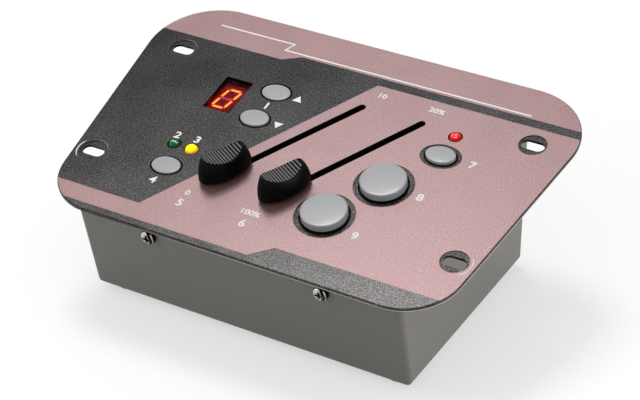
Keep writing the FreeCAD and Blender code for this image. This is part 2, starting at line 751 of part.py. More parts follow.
def make_case_screws():
    make_screws("front_case_screws", CASE_SCREWS, "case_screw_length", panel_frame,
                y="-case_front", z="-case_screw_drop", turn=TO_FRONT)
    make_screws("rear_case_screws", CASE_SCREWS, "case_screw_length", case_frame,
                y="case_rear", z=REAR_SCREW_HEIGHT, turn=TO_REAR)
    nut = ("clinch_nut_radius", THREAD_HOLE, "clinch_nut_height")
    make_rings("front_clinch_nuts", CASE_SCREWS, *nut, panel_frame,
               y="-case_front + case_wall + plate_thickness", z="-case_screw_drop", turn=TO_FRONT)
    make_rings("rear_clinch_nuts", CASE_SCREWS, *nut, case_frame,
               y=f"{REAR_WALL_INSIDE} - plate_thickness", z=REAR_SCREW_HEIGHT, turn=TO_REAR)


# ---------------------------------------------------------------- circuit board

def make_circuit_board():
    body = new_body("circuit_board")
    sketch = new_sketch(body, offset=BOARD_TOP)
    draw_rectangle(sketch, BOARD_HALF_WIDTH, f"({BOARD_FRONT} + {BOARD_REAR}) / 2",
                   y=f"({BOARD_REAR} - {BOARD_FRONT}) / 2")
    pad(body, sketch, "board_thickness", down=True)
    sketch = new_sketch(body, offset=BOARD_TOP)
    for x, y in BOARD_SCREWS:
        draw_circle(sketch, "screw_hole_radius", x, y)
    for x, y in LAMP_LEGS:
        draw_circle(sketch, "lamp_leg_radius + plunger_clearance", x, y)
    for x, y in DISPLAY_PINS:
        draw_circle(sketch, "pin_radius + plunger_clearance", x, y)
    pocket(body, sketch)
    place(body, panel_frame)
    make_rings("board_spacers", BOARD_SCREWS, "spacer_radius", THREAD_HOLE,
               f"board_depth - {PANEL_THICKNESS}", panel_frame, z=UNDERSIDE)
    make_screws("board_screws", BOARD_SCREWS_FROM_BELOW, "board_screw_length", panel_frame,
                z=BOARD_UNDERSIDE, turn=DOWN)


def make_posts(label, places, radius, length, z):
    """Round posts in the panel frame that hang from the height z."""
    body = new_body(label, several=True)
    sketch = new_sketch(body)
    for x, y in places:
        draw_circle(sketch, radius, x, y)
    pad(body, sketch, length, down=True)
    return place(body, panel_frame, z=z)


def make_board_parts():
    """What the board carries on its underside."""
    body = new_body("board_chips", several=True)
    sketch = new_sketch(body)
    draw_rectangle(sketch, "chip_half_length", "chip_half_width", "chip_x", "chip_y")
    pad(body, sketch, "chip_height", down=True)
    sketch = new_sketch(body)
    draw_rectangle(sketch, "driver_half_length", "driver_half_width", "driver_x", "driver_y")
    pad(body, sketch, "driver_height", down=True)
    place(body, panel_frame, z=BOARD_UNDERSIDE)
    body = new_body("voltage_regulator")
    sketch = new_sketch(body)
    draw_rectangle(sketch, "regulator_width / 2", "regulator_depth / 2")
    pad(body, sketch, "regulator_body_height", down=True)
    sketch = new_sketch(body)
    draw_rectangle(sketch, "regulator_width / 2", "regulator_tab_thickness / 2",
                   y="(regulator_depth - regulator_tab_thickness) / 2")
    pad(body, sketch, "regulator_tab_height", down=True)
    place(body, panel_frame, "regulator_x", "regulator_y", BOARD_UNDERSIDE)
    capacitors = [("capacitor_x", "capacitor_y"), ("capacitor_x + capacitor_spacing", "capacitor_y")]
    make_posts("filter_capacitors", capacitors, "capacitor_radius", "capacitor_height", BOARD_UNDERSIDE)
    make_posts("microphone", [MICROPHONE], "microphone_radius", "microphone_height", BOARD_UNDERSIDE)


# ---------------------------------------------------------------- faders

FRAME_TOP = "(fader_frame_height - board_depth)"
CARRIAGE_TOP = f"({FRAME_TOP} - fader_frame_wall - carriage_gap)"
ROD_HEIGHT = f"({CARRIAGE_TOP} - carriage_height / 2)"
TRACK_TOP = "(fader_track_thickness - board_depth)"
FRAME_INSIDE = ("(fader_frame_half_length - fader_frame_wall)", "(fader_frame_width / 2 - fader_frame_wall)")


def make_fader(name, centre_x):
    """A slide potentiometer; its own X runs up its slot and its origin is the slot's centre on the panel."""
    turn = FreeCAD.Rotation(Vector(0, 0, 1), number(FADER_DIRECTION))
    fader_frame = panel_frame * FreeCAD.Placement(Vector(number(centre_x), number("fader_centre_y"), 0), turn)

    body = new_body(f"{name}_fader_frame")
    sketch = new_sketch(body, offset=BOARD_TOP)
    draw_rectangle(sketch, "fader_frame_half_length", "fader_frame_width / 2")
    pad(body, sketch, "fader_frame_height")
    sketch = new_sketch(body, offset=BOARD_TOP)
    draw_rectangle(sketch, *FRAME_INSIDE)
    pocket(body, sketch, "fader_frame_height - fader_frame_wall", side="One side", reverse=True)
    sketch = new_sketch(body)
    draw_slot(sketch, "fader_slot_half_length", FADER_SLOT_RADIUS)
    pocket(body, sketch)
    place(body, fader_frame)

    body = new_body(f"{name}_fader_track")
    sketch = new_sketch(body, offset=BOARD_TOP)
    draw_rectangle(sketch, *[f"{inside} - fader_rod_clearance" for inside in FRAME_INSIDE])
    pad(body, sketch, "fader_track_thickness")
    place(body, fader_frame)

    body = new_body(f"{name}_fader_rods", several=True)
    sketch = new_sketch(body, "YZ_Plane")
    for side in (-1, 1):
        draw_circle(sketch, "fader_rod_radius", f"{side} * fader_rod_half_spacing", ROD_HEIGHT)
    pad(body, sketch, f"2 * {FRAME_INSIDE[0]}", side="Symmetric")
    place(body, fader_frame)

    slider_frame = fader_frame * FreeCAD.Placement(Vector(-number("fader_rest"), 0, 0), UPRIGHT)
    body = new_body(f"{name}_fader_lever")
    sketch = new_sketch(body, offset=CARRIAGE_TOP)
    draw_rectangle(sketch, "carriage_half_length", f"{FRAME_INSIDE[1]} - carriage_gap")
    pad(body, sketch, "carriage_height", down=True)
    sketch = new_sketch(body, offset=CARRIAGE_TOP)
    draw_rectangle(sketch, "lever_half_width", "lever_thickness / 2")
    pad(body, sketch, f"lever_height - {CARRIAGE_TOP}")
    sketch = new_sketch(body, "YZ_Plane")
    rod_hole = "fader_rod_radius + fader_rod_clearance"
    for side in (-1, 1):
        draw_circle(sketch, rod_hole, f"{side} * fader_rod_half_spacing", ROD_HEIGHT)
    pocket(body, sketch)
    place(body, slider_frame)

    body = new_body(f"{name}_fader_wiper")
    sketch = new_sketch(body, offset=f"{TRACK_TOP} + wiper_gap")
    draw_rectangle(sketch, "lever_half_width", "lever_half_width")
    pad(body, sketch, f"{CARRIAGE_TOP} - carriage_height - {TRACK_TOP} - wiper_gap")
    place(body, slider_frame)

    make_fader_cap(name, slider_frame)


def draw_barrel(sketch, half_length, half_width, end_half_width):
    """A barrel outline: two bulging sides, two straight ends and a small arc at each corner."""
    bulge = f"({half_width} - {end_half_width})"
    side_radius = f"(({half_length} * {half_length} + {bulge} * {bulge}) / (2 * {bulge}))"
    length, width = number(half_length), number(half_width)
    radius, corner = number(side_radius), number("cap_corner")
    corner_x = length - corner
    corner_y = math.sqrt((radius - corner) ** 2 - corner_x ** 2) - (radius - width)
    spread = math.atan2(corner_x, corner_y + radius - width)
    up = math.pi / 2
    arcs = []
    for turn in (0, math.pi):
        across = -1 if turn else 1
        arcs += [(0, across * (width - radius), radius, turn + up - spread, turn + up + spread),
                 (-across * corner_x, across * corner_y, corner, turn + up + spread, turn + math.pi),
                 (-across * corner_x, -across * corner_y, corner, turn + math.pi, turn + 3 * up - spread)]
    circles = [Part.Circle(Vector(x, y, 0), Vector(0, 0, 1), size) for x, y, size, _, _ in arcs]
    side, first_corner, end_corner, far_side, third_corner, last_corner = [
        sketch.addGeometry(Part.ArcOfCircle(circle, start, end), False)
        for circle, (_, _, _, start, end) in zip(circles, arcs)]
    left_end, right_end = [
        sketch.addGeometry(Part.LineSegment(Vector(x, y, 0), Vector(x, -y, 0)), False)
        for x, y in ((-length, corner_y), (length, -corner_y))]
    around = (side, first_corner, left_end, end_corner, far_side, third_corner, right_end, last_corner)
    for before, after in zip(around, around[1:] + around[:1]):
        sketch.addConstraint(Constraint("Tangent", before, 2, after, 1))
    for arc, across in ((side, 1), (far_side, -1)):
        dimension(sketch, "Radius", arc, size=side_radius)
        locate(sketch, arc, 3, "0", f"{across} * ({half_width} - {side_radius})")
    for arc in (first_corner, end_corner, third_corner, last_corner):
        dimension(sketch, "Radius", arc, size="cap_corner")
    for end, across in ((left_end, -1), (right_end, 1)):
        sketch.addConstraint(Constraint("Vertical", end))
        dimension(sketch, "DistanceX", -1, 1, end, 1, size=f"{across} * {half_length}")


def make_fader_cap(name, slider_frame):
    """The finger cap: barrel-shaped, narrower at the top, with a dished finger rest."""
    body = new_body(f"{name}_fader_cap")
    widths = ("half_length", "half_width", "end_half_width")
    base = [f"cap_base_{width}" for width in widths]
    top = [f"cap_top_{width}" for width in widths]
    shoulder = [f"({low} - 0.35 * ({low} - {high}))" for low, high in zip(base, top)]
    sections = []
    for height, outline in (("cap_gap", base), ("0.6 * cap_height", shoulder), ("cap_height", top)):
        sketch = new_sketch(body, offset=height)
        draw_barrel(sketch, *outline)
        sections.append(sketch)
    loft = body.newObject("PartDesign::AdditiveLoft", f"{body.Label}_loft")
    loft.Profile = sections[0]
    loft.Sections = [(sketch, [""]) for sketch in sections[1:]]
    finish(body, loft)
    dish_radius = "((cap_top_half_length * cap_top_half_length + cap_dish * cap_dish) / (2 * cap_dish))"
    sketch = new_sketch(body, "XZ_Plane")
    draw_circle(sketch, dish_radius, "0", f"cap_height - cap_dish + {dish_radius}")
    pocket(body, sketch)
    sketch = new_sketch(body, offset="cap_gap")
    draw_rectangle(sketch, "lever_half_width", "lever_thickness / 2")
    pocket(body, sketch, "lever_height - cap_gap", side="One side", reverse=True)
    place(body, slider_frame)


# ---------------------------------------------------------------- push buttons

SMALL_SWITCH_TOP = "(small_switch_height - board_depth)"
LARGE_SWITCH_TOP = "(large_switch_height - board_depth)"
CAP_FLANGE_TOP = f"({UNDERSIDE} - flange_gap)"


def make_oval_button(name, x, y, height):
    body = new_body(f"{name}_button")
    sketch = new_sketch(body, offset=CAP_FLANGE_TOP)
    draw_ellipse(sketch, "oval_half_length", "oval_half_width")
    pad(body, sketch, f"{height} - {CAP_FLANGE_TOP}")
    top = number(height)
    fillet(body, "oval_edge", lambda edge: edge_at(edge, 2, top))
    sketch = new_sketch(body, offset=CAP_FLANGE_TOP)
    draw_ellipse(sketch, "oval_half_length + oval_rim", "oval_half_width + oval_rim")
    pad(body, sketch, "flange_thickness", down=True)
    boss_foot = "(-small_plunger_top - oval_socket_depth)"
    sketch = new_sketch(body, offset=boss_foot)
    draw_circle(sketch, "small_plunger_radius + socket_clearance + socket_wall")
    pad(body, sketch, f"{CAP_FLANGE_TOP} - flange_thickness - {boss_foot}")
    sketch = new_sketch(body, offset=boss_foot)
    draw_circle(sketch, "small_plunger_radius + socket_clearance")
    pocket(body, sketch, "oval_socket_depth", side="One side", reverse=True)
    place(body, panel_frame, x, y)
    make_plunger(name, x, y, "small_plunger_radius", "-small_plunger_top", SMALL_SWITCH_TOP)


def make_round_button(name, x, y):
    body = new_body(f"{name}_button")
    socket = "(large_plunger_radius + socket_clearance)"
    boss_foot = "(-large_plunger_top - round_socket_depth)"
    ceiling = "(round_height - round_wall)"
    inside = "(round_radius - round_wall)"
    flange = "(round_radius + round_rim)"
    flange_foot = f"({CAP_FLANGE_TOP} - flange_thickness)"
    boss = f"({socket} + socket_wall)"
    revolve(body, [("0", "round_height"), ("0", "-large_plunger_top"), (socket, "-large_plunger_top"),
                   (socket, boss_foot), (boss, boss_foot), (boss, ceiling),
                   (inside, ceiling), (inside, flange_foot), (flange, flange_foot), (flange, CAP_FLANGE_TOP),
                   ("round_radius", CAP_FLANGE_TOP), ("round_radius", "round_height")])
    top = number("round_height")
    fillet(body, "round_edge", lambda edge: edge_at(edge, 2, top))
    place(body, panel_frame, x, y)
    make_plunger(name, x, y, "large_plunger_radius", "-large_plunger_top", LARGE_SWITCH_TOP)


def make_plunger(name, x, y, radius, top, switch_top):
    """The switch's own push rod; a flange under the lid keeps it in."""
    body = new_body(f"{name}_plunger")
    lid = f"({switch_top} - switch_lid)"
    foot = f"({lid} - plunger_flange_thickness)"
    flange = f"({radius} + plunger_flange_extra)"
    revolve(body, [("0", foot), (flange, foot), (flange, lid), (radius, lid), (radius, top), ("0", top)])
    place(body, panel_frame, x, y)


def make_switch_housings(label, places, half_width, height, radius):
    body = new_body(label, several=True)
    sketch = new_sketch(body, offset=BOARD_TOP)
    for x, y in places:
        draw_rectangle(sketch, half_width, half_width, x, y)
    pad(body, sketch, height)
    sketch = new_sketch(body, offset=f"{height} - board_depth")
    for x, y in places:
        draw_circle(sketch, f"{radius} + plunger_clearance", x, y)
    pocket(body, sketch, f"{height} - switch_floor", side="One side")
    sketch = new_sketch(body, offset=f"{height} - board_depth - switch_lid")
    for x, y in places:
        draw_circle(sketch, f"{radius} + plunger_flange_extra + plunger_clearance", x, y)
    pocket(body, sketch, f"{height} - switch_lid - switch_floor", side="One side")
    place(body, panel_frame)


def make_buttons():
    for name, (x, y, height) in OVAL_BUTTONS.items():
        make_oval_button(name, x, y, height)
    for name, (x, y) in ROUND_BUTTONS.items():
        make_round_button(name, x, y)
    make_switch_housings("small_switch_housings", [(x, y) for x, y, _ in OVAL_BUTTONS.values()],
                         "small_switch_half_width", "small_switch_height", "small_plunger_radius")
    make_switch_housings("large_switch_housings", ROUND_BUTTONS.values(),
                         "large_switch_half_width", "large_switch_height", "large_plunger_radius")


# ---------------------------------------------------------------- indicator lights

LAMP_BASE = "(lamp_rise - lamp_length)"


def make_lamps():
    for name, (x, y) in LAMPS.items():
        body = new_body(f"{name}_lamp")
        sketch = new_sketch(body, offset=LAMP_BASE)
        draw_circle(sketch, "lamp_radius")
        pad(body, sketch, "lamp_length")
        top = number("lamp_rise")
        fillet(body, "0.96 * lamp_radius", lambda edge: edge_at(edge, 2, top))
        sketch = new_sketch(body, offset=LAMP_BASE)
        draw_circle(sketch, "lamp_flange_radius")
        pad(body, sketch, "lamp_flange_thickness")
        place(body, panel_frame, x, y)
    make_rings("lamp_spacers", LAMPS.values(), "lamp_radius", "lamp_leg_half_spacing + 2 * lamp_leg_radius",
               f"board_depth + {LAMP_BASE}", panel_frame, z=LAMP_BASE)
    leg_reach = f"board_depth + {LAMP_BASE} + board_thickness + leg_length"
    make_posts("lamp_legs", LAMP_LEGS, "lamp_leg_radius", leg_reach, LAMP_BASE)


# ---------------------------------------------------------------- display

FILTER_FACE = f"({UNDERSIDE} - filter_thickness)"
DISPLAY_FACE = f"({FILTER_FACE} - display_gap - segment_thickness)"


def slanted(points):
    """Leans the digit to the right, as the real one leans."""
    return [(f"{x} + digit_slant * ({y})", y) for x, y in points]


def segment(x, y, length, upright):
    """A bar with pointed ends, along X or along Y."""
    reach = f"({length} - segment_gap)"
    half = "(segment_width / 2)"
    bar = [(f"-{reach}", "0"), (f"-{reach} + {half}", f"-{half}"), (f"{reach} - {half}", f"-{half}"),
           (reach, "0"), (f"{reach} - {half}", half), (f"-{reach} + {half}", half)]
    if upright:
        bar = [(f"-({along})", across) for across, along in bar]
    return slanted([(f"{x} + {bar_x}", f"{y} + {bar_y}") for bar_x, bar_y in bar])


def make_display():
    body = new_body("display_body")
    sketch = new_sketch(body, offset=BOARD_TOP)
    draw_rectangle(sketch, "display_half_width", "display_half_height", "display_x", "display_y")
    pad(body, sketch, f"{DISPLAY_FACE} + board_depth")
    place(body, panel_frame)
    body = new_body("display_filter")
    sketch = new_sketch(body, offset=UNDERSIDE)
    draw_rectangle(sketch, "window_half_width + filter_border", "window_half_height + filter_border",
                   "window_x", "window_y")
    pad(body, sketch, "filter_thickness", down=True)
    place(body, panel_frame)
    make_posts("display_pins", DISPLAY_PINS, "pin_radius", "board_thickness + leg_length", BOARD_TOP)
    half_height = "(digit_half_height / 2)"
    lit = [segment("0", f"{end} * digit_half_height", "digit_half_width", upright=False) for end in (-1, 1)]
    lit += [segment(f"{side} * digit_half_width", f"{end} * {half_height}", half_height, upright=True)
            for side in (-1, 1) for end in (-1, 1)]
    dark = [segment("0", "0", "digit_half_width", upright=False)]
    for label, outlines in (("lit_segments", lit), ("dark_segment", dark)):
        body = new_body(label, several=True)
        sketch = new_sketch(body)
        for outline in outlines:
            draw_polygon(sketch, outline)
        pad(body, sketch, "segment_thickness")
        place(body, panel_frame, "display_x", "display_y", DISPLAY_FACE)


# ---------------------------------------------------------------- back wall

def make_output_socket():
    """A three-contact locking socket: shell with a flange, insert, contacts, screws and nuts."""
    where = {"x": "output_x", "y": "case_rear", "z": CONNECTOR_HEIGHT, "turn": TO_REAR}
    body = new_body("output_socket_shell")
    sketch = new_sketch(body)
    draw_rectangle(sketch, "output_flange_half_width", "output_flange_half_height")
    pad(body, sketch, "output_flange_thickness")
    fillet(body, "output_flange_corner", lambda edge: runs_along(edge, 2))
    sketch = new_sketch(body)
    draw_circle(sketch, "output_barrel_radius")
    pad(body, sketch, "output_barrel_length", down=True)
    sketch = new_sketch(body)
    draw_circle(sketch, "output_bore_radius")
    for x, y in OUTPUT_SCREWS:
        draw_circle(sketch, "screw_hole_radius", x, f"-({y})")
    pocket(body, sketch)
    place(body, case_frame, **where)

    body = new_body("output_socket_insert")
    step = "(output_insert_depth - output_flange_thickness)"
    sketch = new_sketch(body, offset="-output_barrel_length")
    draw_circle(sketch, "output_bore_radius")
    pad(body, sketch, f"output_barrel_length - {step}")
    sketch = new_sketch(body, offset=f"-{step}")
    draw_circle(sketch, "output_insert_radius")
    pad(body, sketch, f"{step} + output_flange_thickness / 2")
    sketch = new_sketch(body)
    for x, y in OUTPUT_CONTACTS:
        draw_circle(sketch, "output_contact_radius + thread_clearance", x, y)
    pocket(body, sketch)
    place(body, case_frame, **where)

    body = new_body("output_socket_contacts", several=True)
    sketch = new_sketch(body)
    for x, y in OUTPUT_CONTACTS:
        draw_circle(sketch, "output_contact_radius", x, y)
    pad(body, sketch, "output_barrel_length + output_tag_length", down=True)
    sketch = new_sketch(body)
    for x, y in OUTPUT_CONTACTS:
        draw_circle(sketch, "0.7 * output_contact_radius", x, y)
    pocket(body, sketch, "output_insert_depth", side="One side")
    place(body, case_frame, **where)

    screws = [(x, f"-({y})") for x, y in OUTPUT_SCREWS]
    make_screws("output_socket_screws", screws, "output_screw_length", case_frame, "output_x",
                "case_rear + output_flange_thickness", CONNECTOR_HEIGHT, TO_REAR)
    make_rings("output_socket_nuts", screws, "output_nut_radius", THREAD_HOLE, "output_nut_height",
               case_frame, "output_x", REAR_WALL_INSIDE, CONNECTOR_HEIGHT, TO_REAR, sides=6)


def make_power_inlet():
    """A round low-voltage inlet: threaded body, centre pin and the nut that holds it inside the wall."""
    where = {"x": "inlet_x", "y": "case_rear", "z": CONNECTOR_HEIGHT, "turn": TO_REAR}
    body = new_body("power_inlet_body")
    bore_floor = "(inlet_flange_thickness - inlet_bore_depth)"
    revolve(body, [("0", "-inlet_length"), ("inlet_thread_radius", "-inlet_length"),
                   ("inlet_thread_radius", "0"), ("inlet_flange_radius", "0"),
                   ("inlet_flange_radius", "inlet_flange_thickness"),
                   ("inlet_bore_radius", "inlet_flange_thickness"), ("inlet_bore_radius", bore_floor),
                   ("0", bore_floor)])
    place(body, case_frame, **where)
    body = new_body("power_inlet_pin")
    sketch = new_sketch(body, offset=bore_floor)
    draw_circle(sketch, "inlet_pin_radius")
    pad(body, sketch, "inlet_bore_depth - inlet_flange_thickness / 2")
    place(body, case_frame, **where)
    make_rings("power_inlet_nut", [("0", "0")], "inlet_nut_radius", "inlet_thread_radius + thread_clearance",
               "inlet_nut_height", case_frame, "inlet_x", REAR_WALL_INSIDE, CONNECTOR_HEIGHT,
               TO_REAR, sides=6)


def add_lead(body, x, start_y, radius):
    """A lead that runs forward from a connector, then bends up to the board's underside."""
    end_z = f"((lead_rise_y - {radius}) * tan(panel_tilt) + {BOARD_UNDERSIDE} / cos(panel_tilt))"
    bend_y = "(lead_rise_y + lead_bend)"
    bend_z = f"({CONNECTOR_HEIGHT} + lead_bend)"
    route = new_sketch(body, "YZ_Plane", offset=x)
    corners = [(start_y, CONNECTOR_HEIGHT), (bend_y, CONNECTOR_HEIGHT),
               ("lead_rise_y", bend_z), ("lead_rise_y", end_z)]
    start, bend_start, bend_end, end = [Vector(number(y), number(z), 0) for y, z in corners]
    centre = Vector(bend_start.x, bend_end.y, 0)
    run = route.addGeometry(Part.LineSegment(start, bend_start), False)
    bend_circle = Part.Circle(centre, Vector(0, 0, 1), number("lead_bend"))
    bend = route.addGeometry(Part.ArcOfCircle(bend_circle, math.pi, 1.5 * math.pi), False)
    rise = route.addGeometry(Part.LineSegment(bend_end, end), False)
    route.addConstraint(Constraint("Tangent", run, 2, bend, 2))
    route.addConstraint(Constraint("Tangent", bend, 1, rise, 1))
    route.addConstraint(Constraint("Horizontal", run))
    route.addConstraint(Constraint("Vertical", rise))
    dimension(route, "Radius", bend, size="lead_bend")
    locate(route, run, 1, *corners[0])
    locate(route, rise, 2, *corners[-1])
    section = new_sketch(body, "XZ_Plane", offset=f"-({start_y})")
    draw_circle(section, radius, x, CONNECTOR_HEIGHT)
    doc.recompute()
    pipe = body.newObject("PartDesign::AdditivePipe", f"{body.Label}_pipe")
    pipe.Profile = section
    pipe.Spine = (route, [f"Edge{index}" for index in (1, 2, 3)])
    finish(body, pipe)


def make_internal_leads():
    body = new_body("internal_leads", several=True)
    add_lead(body, "output_x", "case_rear - output_barrel_length", "output_lead_radius")
    add_lead(body, "inlet_x", "case_rear - inlet_length", "power_lead_radius")
    place(body, case_frame)


# ---------------------------------------------------------------- build, check and write

make_printed_sheet()
make_control_panel()
make_case()
make_rubber_feet()
make_case_screws()
make_circuit_board()
make_board_parts()
for fader_name, fader_x in FADERS.items():
    make_fader(fader_name, fader_x)
make_buttons()
make_lamps()
make_display()
make_output_socket()
make_power_inlet()
make_internal_leads()
doc.recompute()

for item in doc.Objects:
    if {"Invalid", "Error"} & set(item.State):
        raise ValueError(f"{item.Label} did not build: {item.State}")
for part in PARTS:
    if part.Shape.isNull() or not part.Shape.isValid() or not part.Shape.Solids:
        raise ValueError(f"{part.Label} has no valid solid")

os.makedirs("parts", exist_ok=True)
for part in PARTS:
    part.Shape.exportStep(f"parts/{part.Label}.step")
print(len(PARTS), "parts written")
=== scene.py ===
# %% [markdown]
# # A desk controller for strobe lights
# The real object is a small sheet-steel desk box with a larger, tilted control panel: a textured steel
# plate under a printed sheet in dark grey and dusty pink, with two diagonal faders, six push buttons,
# three indicator lights and a one-digit display.
#
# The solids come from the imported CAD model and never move. This script gives each its finish, replaces
# those whose real surface has more shape (fader caps, buttons, indicator lights and screws) and adds the
# white print, which is too thin for a solid.

# %% Load the frame
import json
import math
from types import SimpleNamespace
import bmesh
import bpy
from mathutils import Matrix, Vector


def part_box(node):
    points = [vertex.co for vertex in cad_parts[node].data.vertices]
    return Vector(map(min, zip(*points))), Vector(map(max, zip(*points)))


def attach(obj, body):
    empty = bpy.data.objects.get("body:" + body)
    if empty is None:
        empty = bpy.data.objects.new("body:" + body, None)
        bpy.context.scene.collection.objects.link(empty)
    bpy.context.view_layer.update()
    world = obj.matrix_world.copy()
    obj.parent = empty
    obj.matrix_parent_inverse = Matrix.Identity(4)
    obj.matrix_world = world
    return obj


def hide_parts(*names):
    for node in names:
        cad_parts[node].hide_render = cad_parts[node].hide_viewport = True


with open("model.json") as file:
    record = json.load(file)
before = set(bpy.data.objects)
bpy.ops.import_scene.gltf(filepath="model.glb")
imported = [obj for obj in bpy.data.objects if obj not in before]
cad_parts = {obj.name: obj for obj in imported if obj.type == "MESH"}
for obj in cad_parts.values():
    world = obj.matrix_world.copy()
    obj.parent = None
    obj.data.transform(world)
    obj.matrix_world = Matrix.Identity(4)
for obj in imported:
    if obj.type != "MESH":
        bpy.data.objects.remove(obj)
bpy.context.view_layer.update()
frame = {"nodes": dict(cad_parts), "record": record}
nodes = frame["nodes"]
MM = 0.001

# %% [markdown]
# ## Where the panel is
# Nearly everything that shows sits on the tilted panel, so its own frame is the easiest to think in: X to
# the right, Y up the slope, Z out of the printed face, in millimetres. The record's mount for the slotted
# holes gives the plate's underside at the panel's centre and the way the panel faces. From these come one
# matrix for meshes and one rotation for patterns.

# %% The panel frame
PANEL_THICKNESS = 1.25
mount = next(mount for mount in frame["record"]["mounts"] if mount["name"] == "mounting_slots")
panel_normal = Vector(mount["axis"]).normalized()
panel_tilt = math.atan2(-panel_normal.y, panel_normal.z)
panel_centre = Vector(mount["pos_m"]) + panel_normal * PANEL_THICKNESS * MM
panel_to_row = (Matrix.Translation(panel_centre) @ Matrix.Rotation(panel_tilt, 4, "X")
                @ Matrix.Scale(MM, 4))
print("panel tilt", round(math.degrees(panel_tilt), 2), "degrees, centre", panel_centre)


# %% [markdown]
# ## Building node trees in short lines
# Written out in full, a shader tree hides its idea behind the typing. So a wire can be added to,
# multiplied or compared like a number, which makes the Math node for it, and a few helpers make the other
# nodes in one line each. Colours are given as on a screen, 0 to 255, as a painter matches them, and
# become the linear light that the shader wants.

# %% Wires
class Wire:
    """A node's output. Formulas of wires and numbers are written as usual and become Math nodes."""

    def __init__(self, socket):
        self.socket, self.tree = socket, socket.id_data

    def __abs__(self):
        return calc("ABSOLUTE", self)


for mark, operation in {"add": "ADD", "sub": "SUBTRACT", "mul": "MULTIPLY", "truediv": "DIVIDE",
                        "pow": "POWER", "lt": "LESS_THAN", "gt": "GREATER_THAN"}.items():
    setattr(Wire, f"__{mark}__", lambda self, other, name=operation: calc(name, self, other))
    setattr(Wire, f"__r{mark}__", lambda self, other, name=operation: calc(name, other, self))


def to_linear(value):
    """One channel of a screen colour, 0 to 255, as linear light."""
    share = value / 255
    return share / 12.92 if share <= 0.04045 else ((share + 0.055) / 1.055) ** 2.4


def feed(socket, value):
    """Joins a wire to a socket, or sets the socket to a plain value or a screen colour."""
    if isinstance(value, Wire):
        value.tree.links.new(value.socket, socket)
    elif socket.type == "RGBA":
        socket.default_value = [to_linear(channel) for channel in value] + [1.0]
    else:
        socket.default_value = value


def new_node(tree, kind, inputs=(), **settings):
    """A new node; inputs maps socket names or numbers to plain values or wires."""
    node = tree.nodes.new(kind)
    for name, value in settings.items():
        setattr(node, name, value)
    for name, value in dict(inputs).items():
        feed(node.inputs[name], value)
    return node


def add(tree, kind, inputs=(), output=0, **settings):
    """The wire from one output of a new node."""
    return Wire(new_node(tree, kind, inputs, **settings).outputs[output])


def calc(operation, *values, clamp=False):
    """A Math node; at least one of its values is a wire."""
    tree = next(value.tree for value in values if isinstance(value, Wire))
    return add(tree, "ShaderNodeMath", enumerate(values), operation=operation, use_clamp=clamp)


def plain(name):
    """A socket's name in lower case, with underscores."""
    return name.lower().replace(" ", "_")


def wires(node):
    """All outputs of a node, by their plain names."""
    return SimpleNamespace(**{plain(socket.name): Wire(socket) for socket in node.outputs if socket.name})


def give(node, **values):
    """Feeds the inputs of a node by their plain names."""
    sockets = {plain(socket.name): socket for socket in node.inputs}
    for name, value in values.items():
        feed(sockets[name], value)


# %% Helpers for node trees
def larger(one, other):
    return calc("MAXIMUM", one, other)


def root_of_squares(one, other):
    return calc("SQRT", one * one + other * other)


def split(vector):
    """The vector's X, Y and Z."""
    return [Wire(socket) for socket in new_node(vector.tree, "ShaderNodeSeparateXYZ", {0: vector}).outputs]


def ramp(value, low, high, to_low=0.0, to_high=1.0):
    """The value moved from the range low to high onto another range, and held inside it."""
    names = ("Value", "From Min", "From Max", "To Min", "To Max")
    return add(value.tree, "ShaderNodeMapRange", zip(names, (value, low, high, to_low, to_high)))


def mix(factor, first, second):
    """A number between the two; factor 0 is the first."""
    return add(factor.tree, "ShaderNodeMix", {0: factor, 2: first, 3: second})


def blend(factor, first, second):
    """A colour between the two; factor 0 is the first."""
    return add(factor.tree, "ShaderNodeMix", {0: factor, 6: first, 7: second}, 2, data_type="RGBA")


def brighten(shade, value):
    return add(shade.tree, "ShaderNodeHueSaturation", {"Color": shade, "Value": value})


def noise(position, size, detail=2.0):
    """Noise whose grains are about size across, in the units of position."""
    return add(position.tree, "ShaderNodeTexNoise",
               {"Vector": position, "Scale": 1.0 / size, "Detail": detail})


# %% Helpers for node groups
KINDS = {int: "Int", float: "Float", tuple: "Color", Vector: "Vector"}
GREY = (0.2, 0.2, 0.2, 1.0)


def new_tree(name, inputs, outputs, kind="ShaderNodeTree"):
    """A group of nodes that takes a Position or, in Geometry Nodes, a Geometry, and the inputs.

    Inputs maps names to starting values or, without one, to a kind of socket.
    """
    tree = bpy.data.node_groups.new(name, kind)
    first = {"Position": Vector()} if kind == "ShaderNodeTree" else {"Geometry": "Geometry"}
    for label, value in {**first, **inputs}.items():
        socket_kind = KINDS.get(type(value), value)
        socket = tree.interface.new_socket(label, in_out="INPUT", socket_type=f"NodeSocket{socket_kind}")
        if socket_kind != value:
            socket.default_value = value
    for label in outputs:
        socket_kind = {"Colour": "Color", "Geometry": "Geometry"}.get(label, "Float")
        tree.interface.new_socket(label, in_out="OUTPUT", socket_type=f"NodeSocket{socket_kind}")
    return tree, wires(new_node(tree, "NodeGroupInput")), new_node(tree, "NodeGroupOutput")


def close_tree(result, **values):
    """Feeds the tree's results and returns the tree."""
    give(result, **values)
    tree = result.id_data
    print("tree", tree.name, "has", len(tree.nodes), "nodes")
    return tree


# %% [markdown]
# ## Paint and ink with metal flakes
# The panel's paint and the ink on it hold metal: fine pearl all through, and larger flakes. They make the
# pink look dusty: up close it is a stronger red with pale flakes, and where a fader cap hides the light
# that the metal would mirror, the red comes forward. One average colour would miss that. So each cell of
# a fine Voronoi pattern draws a lot: the winners, whose share is an input, are flakes, the others ink. A
# noise adds the grain that fingers feel.

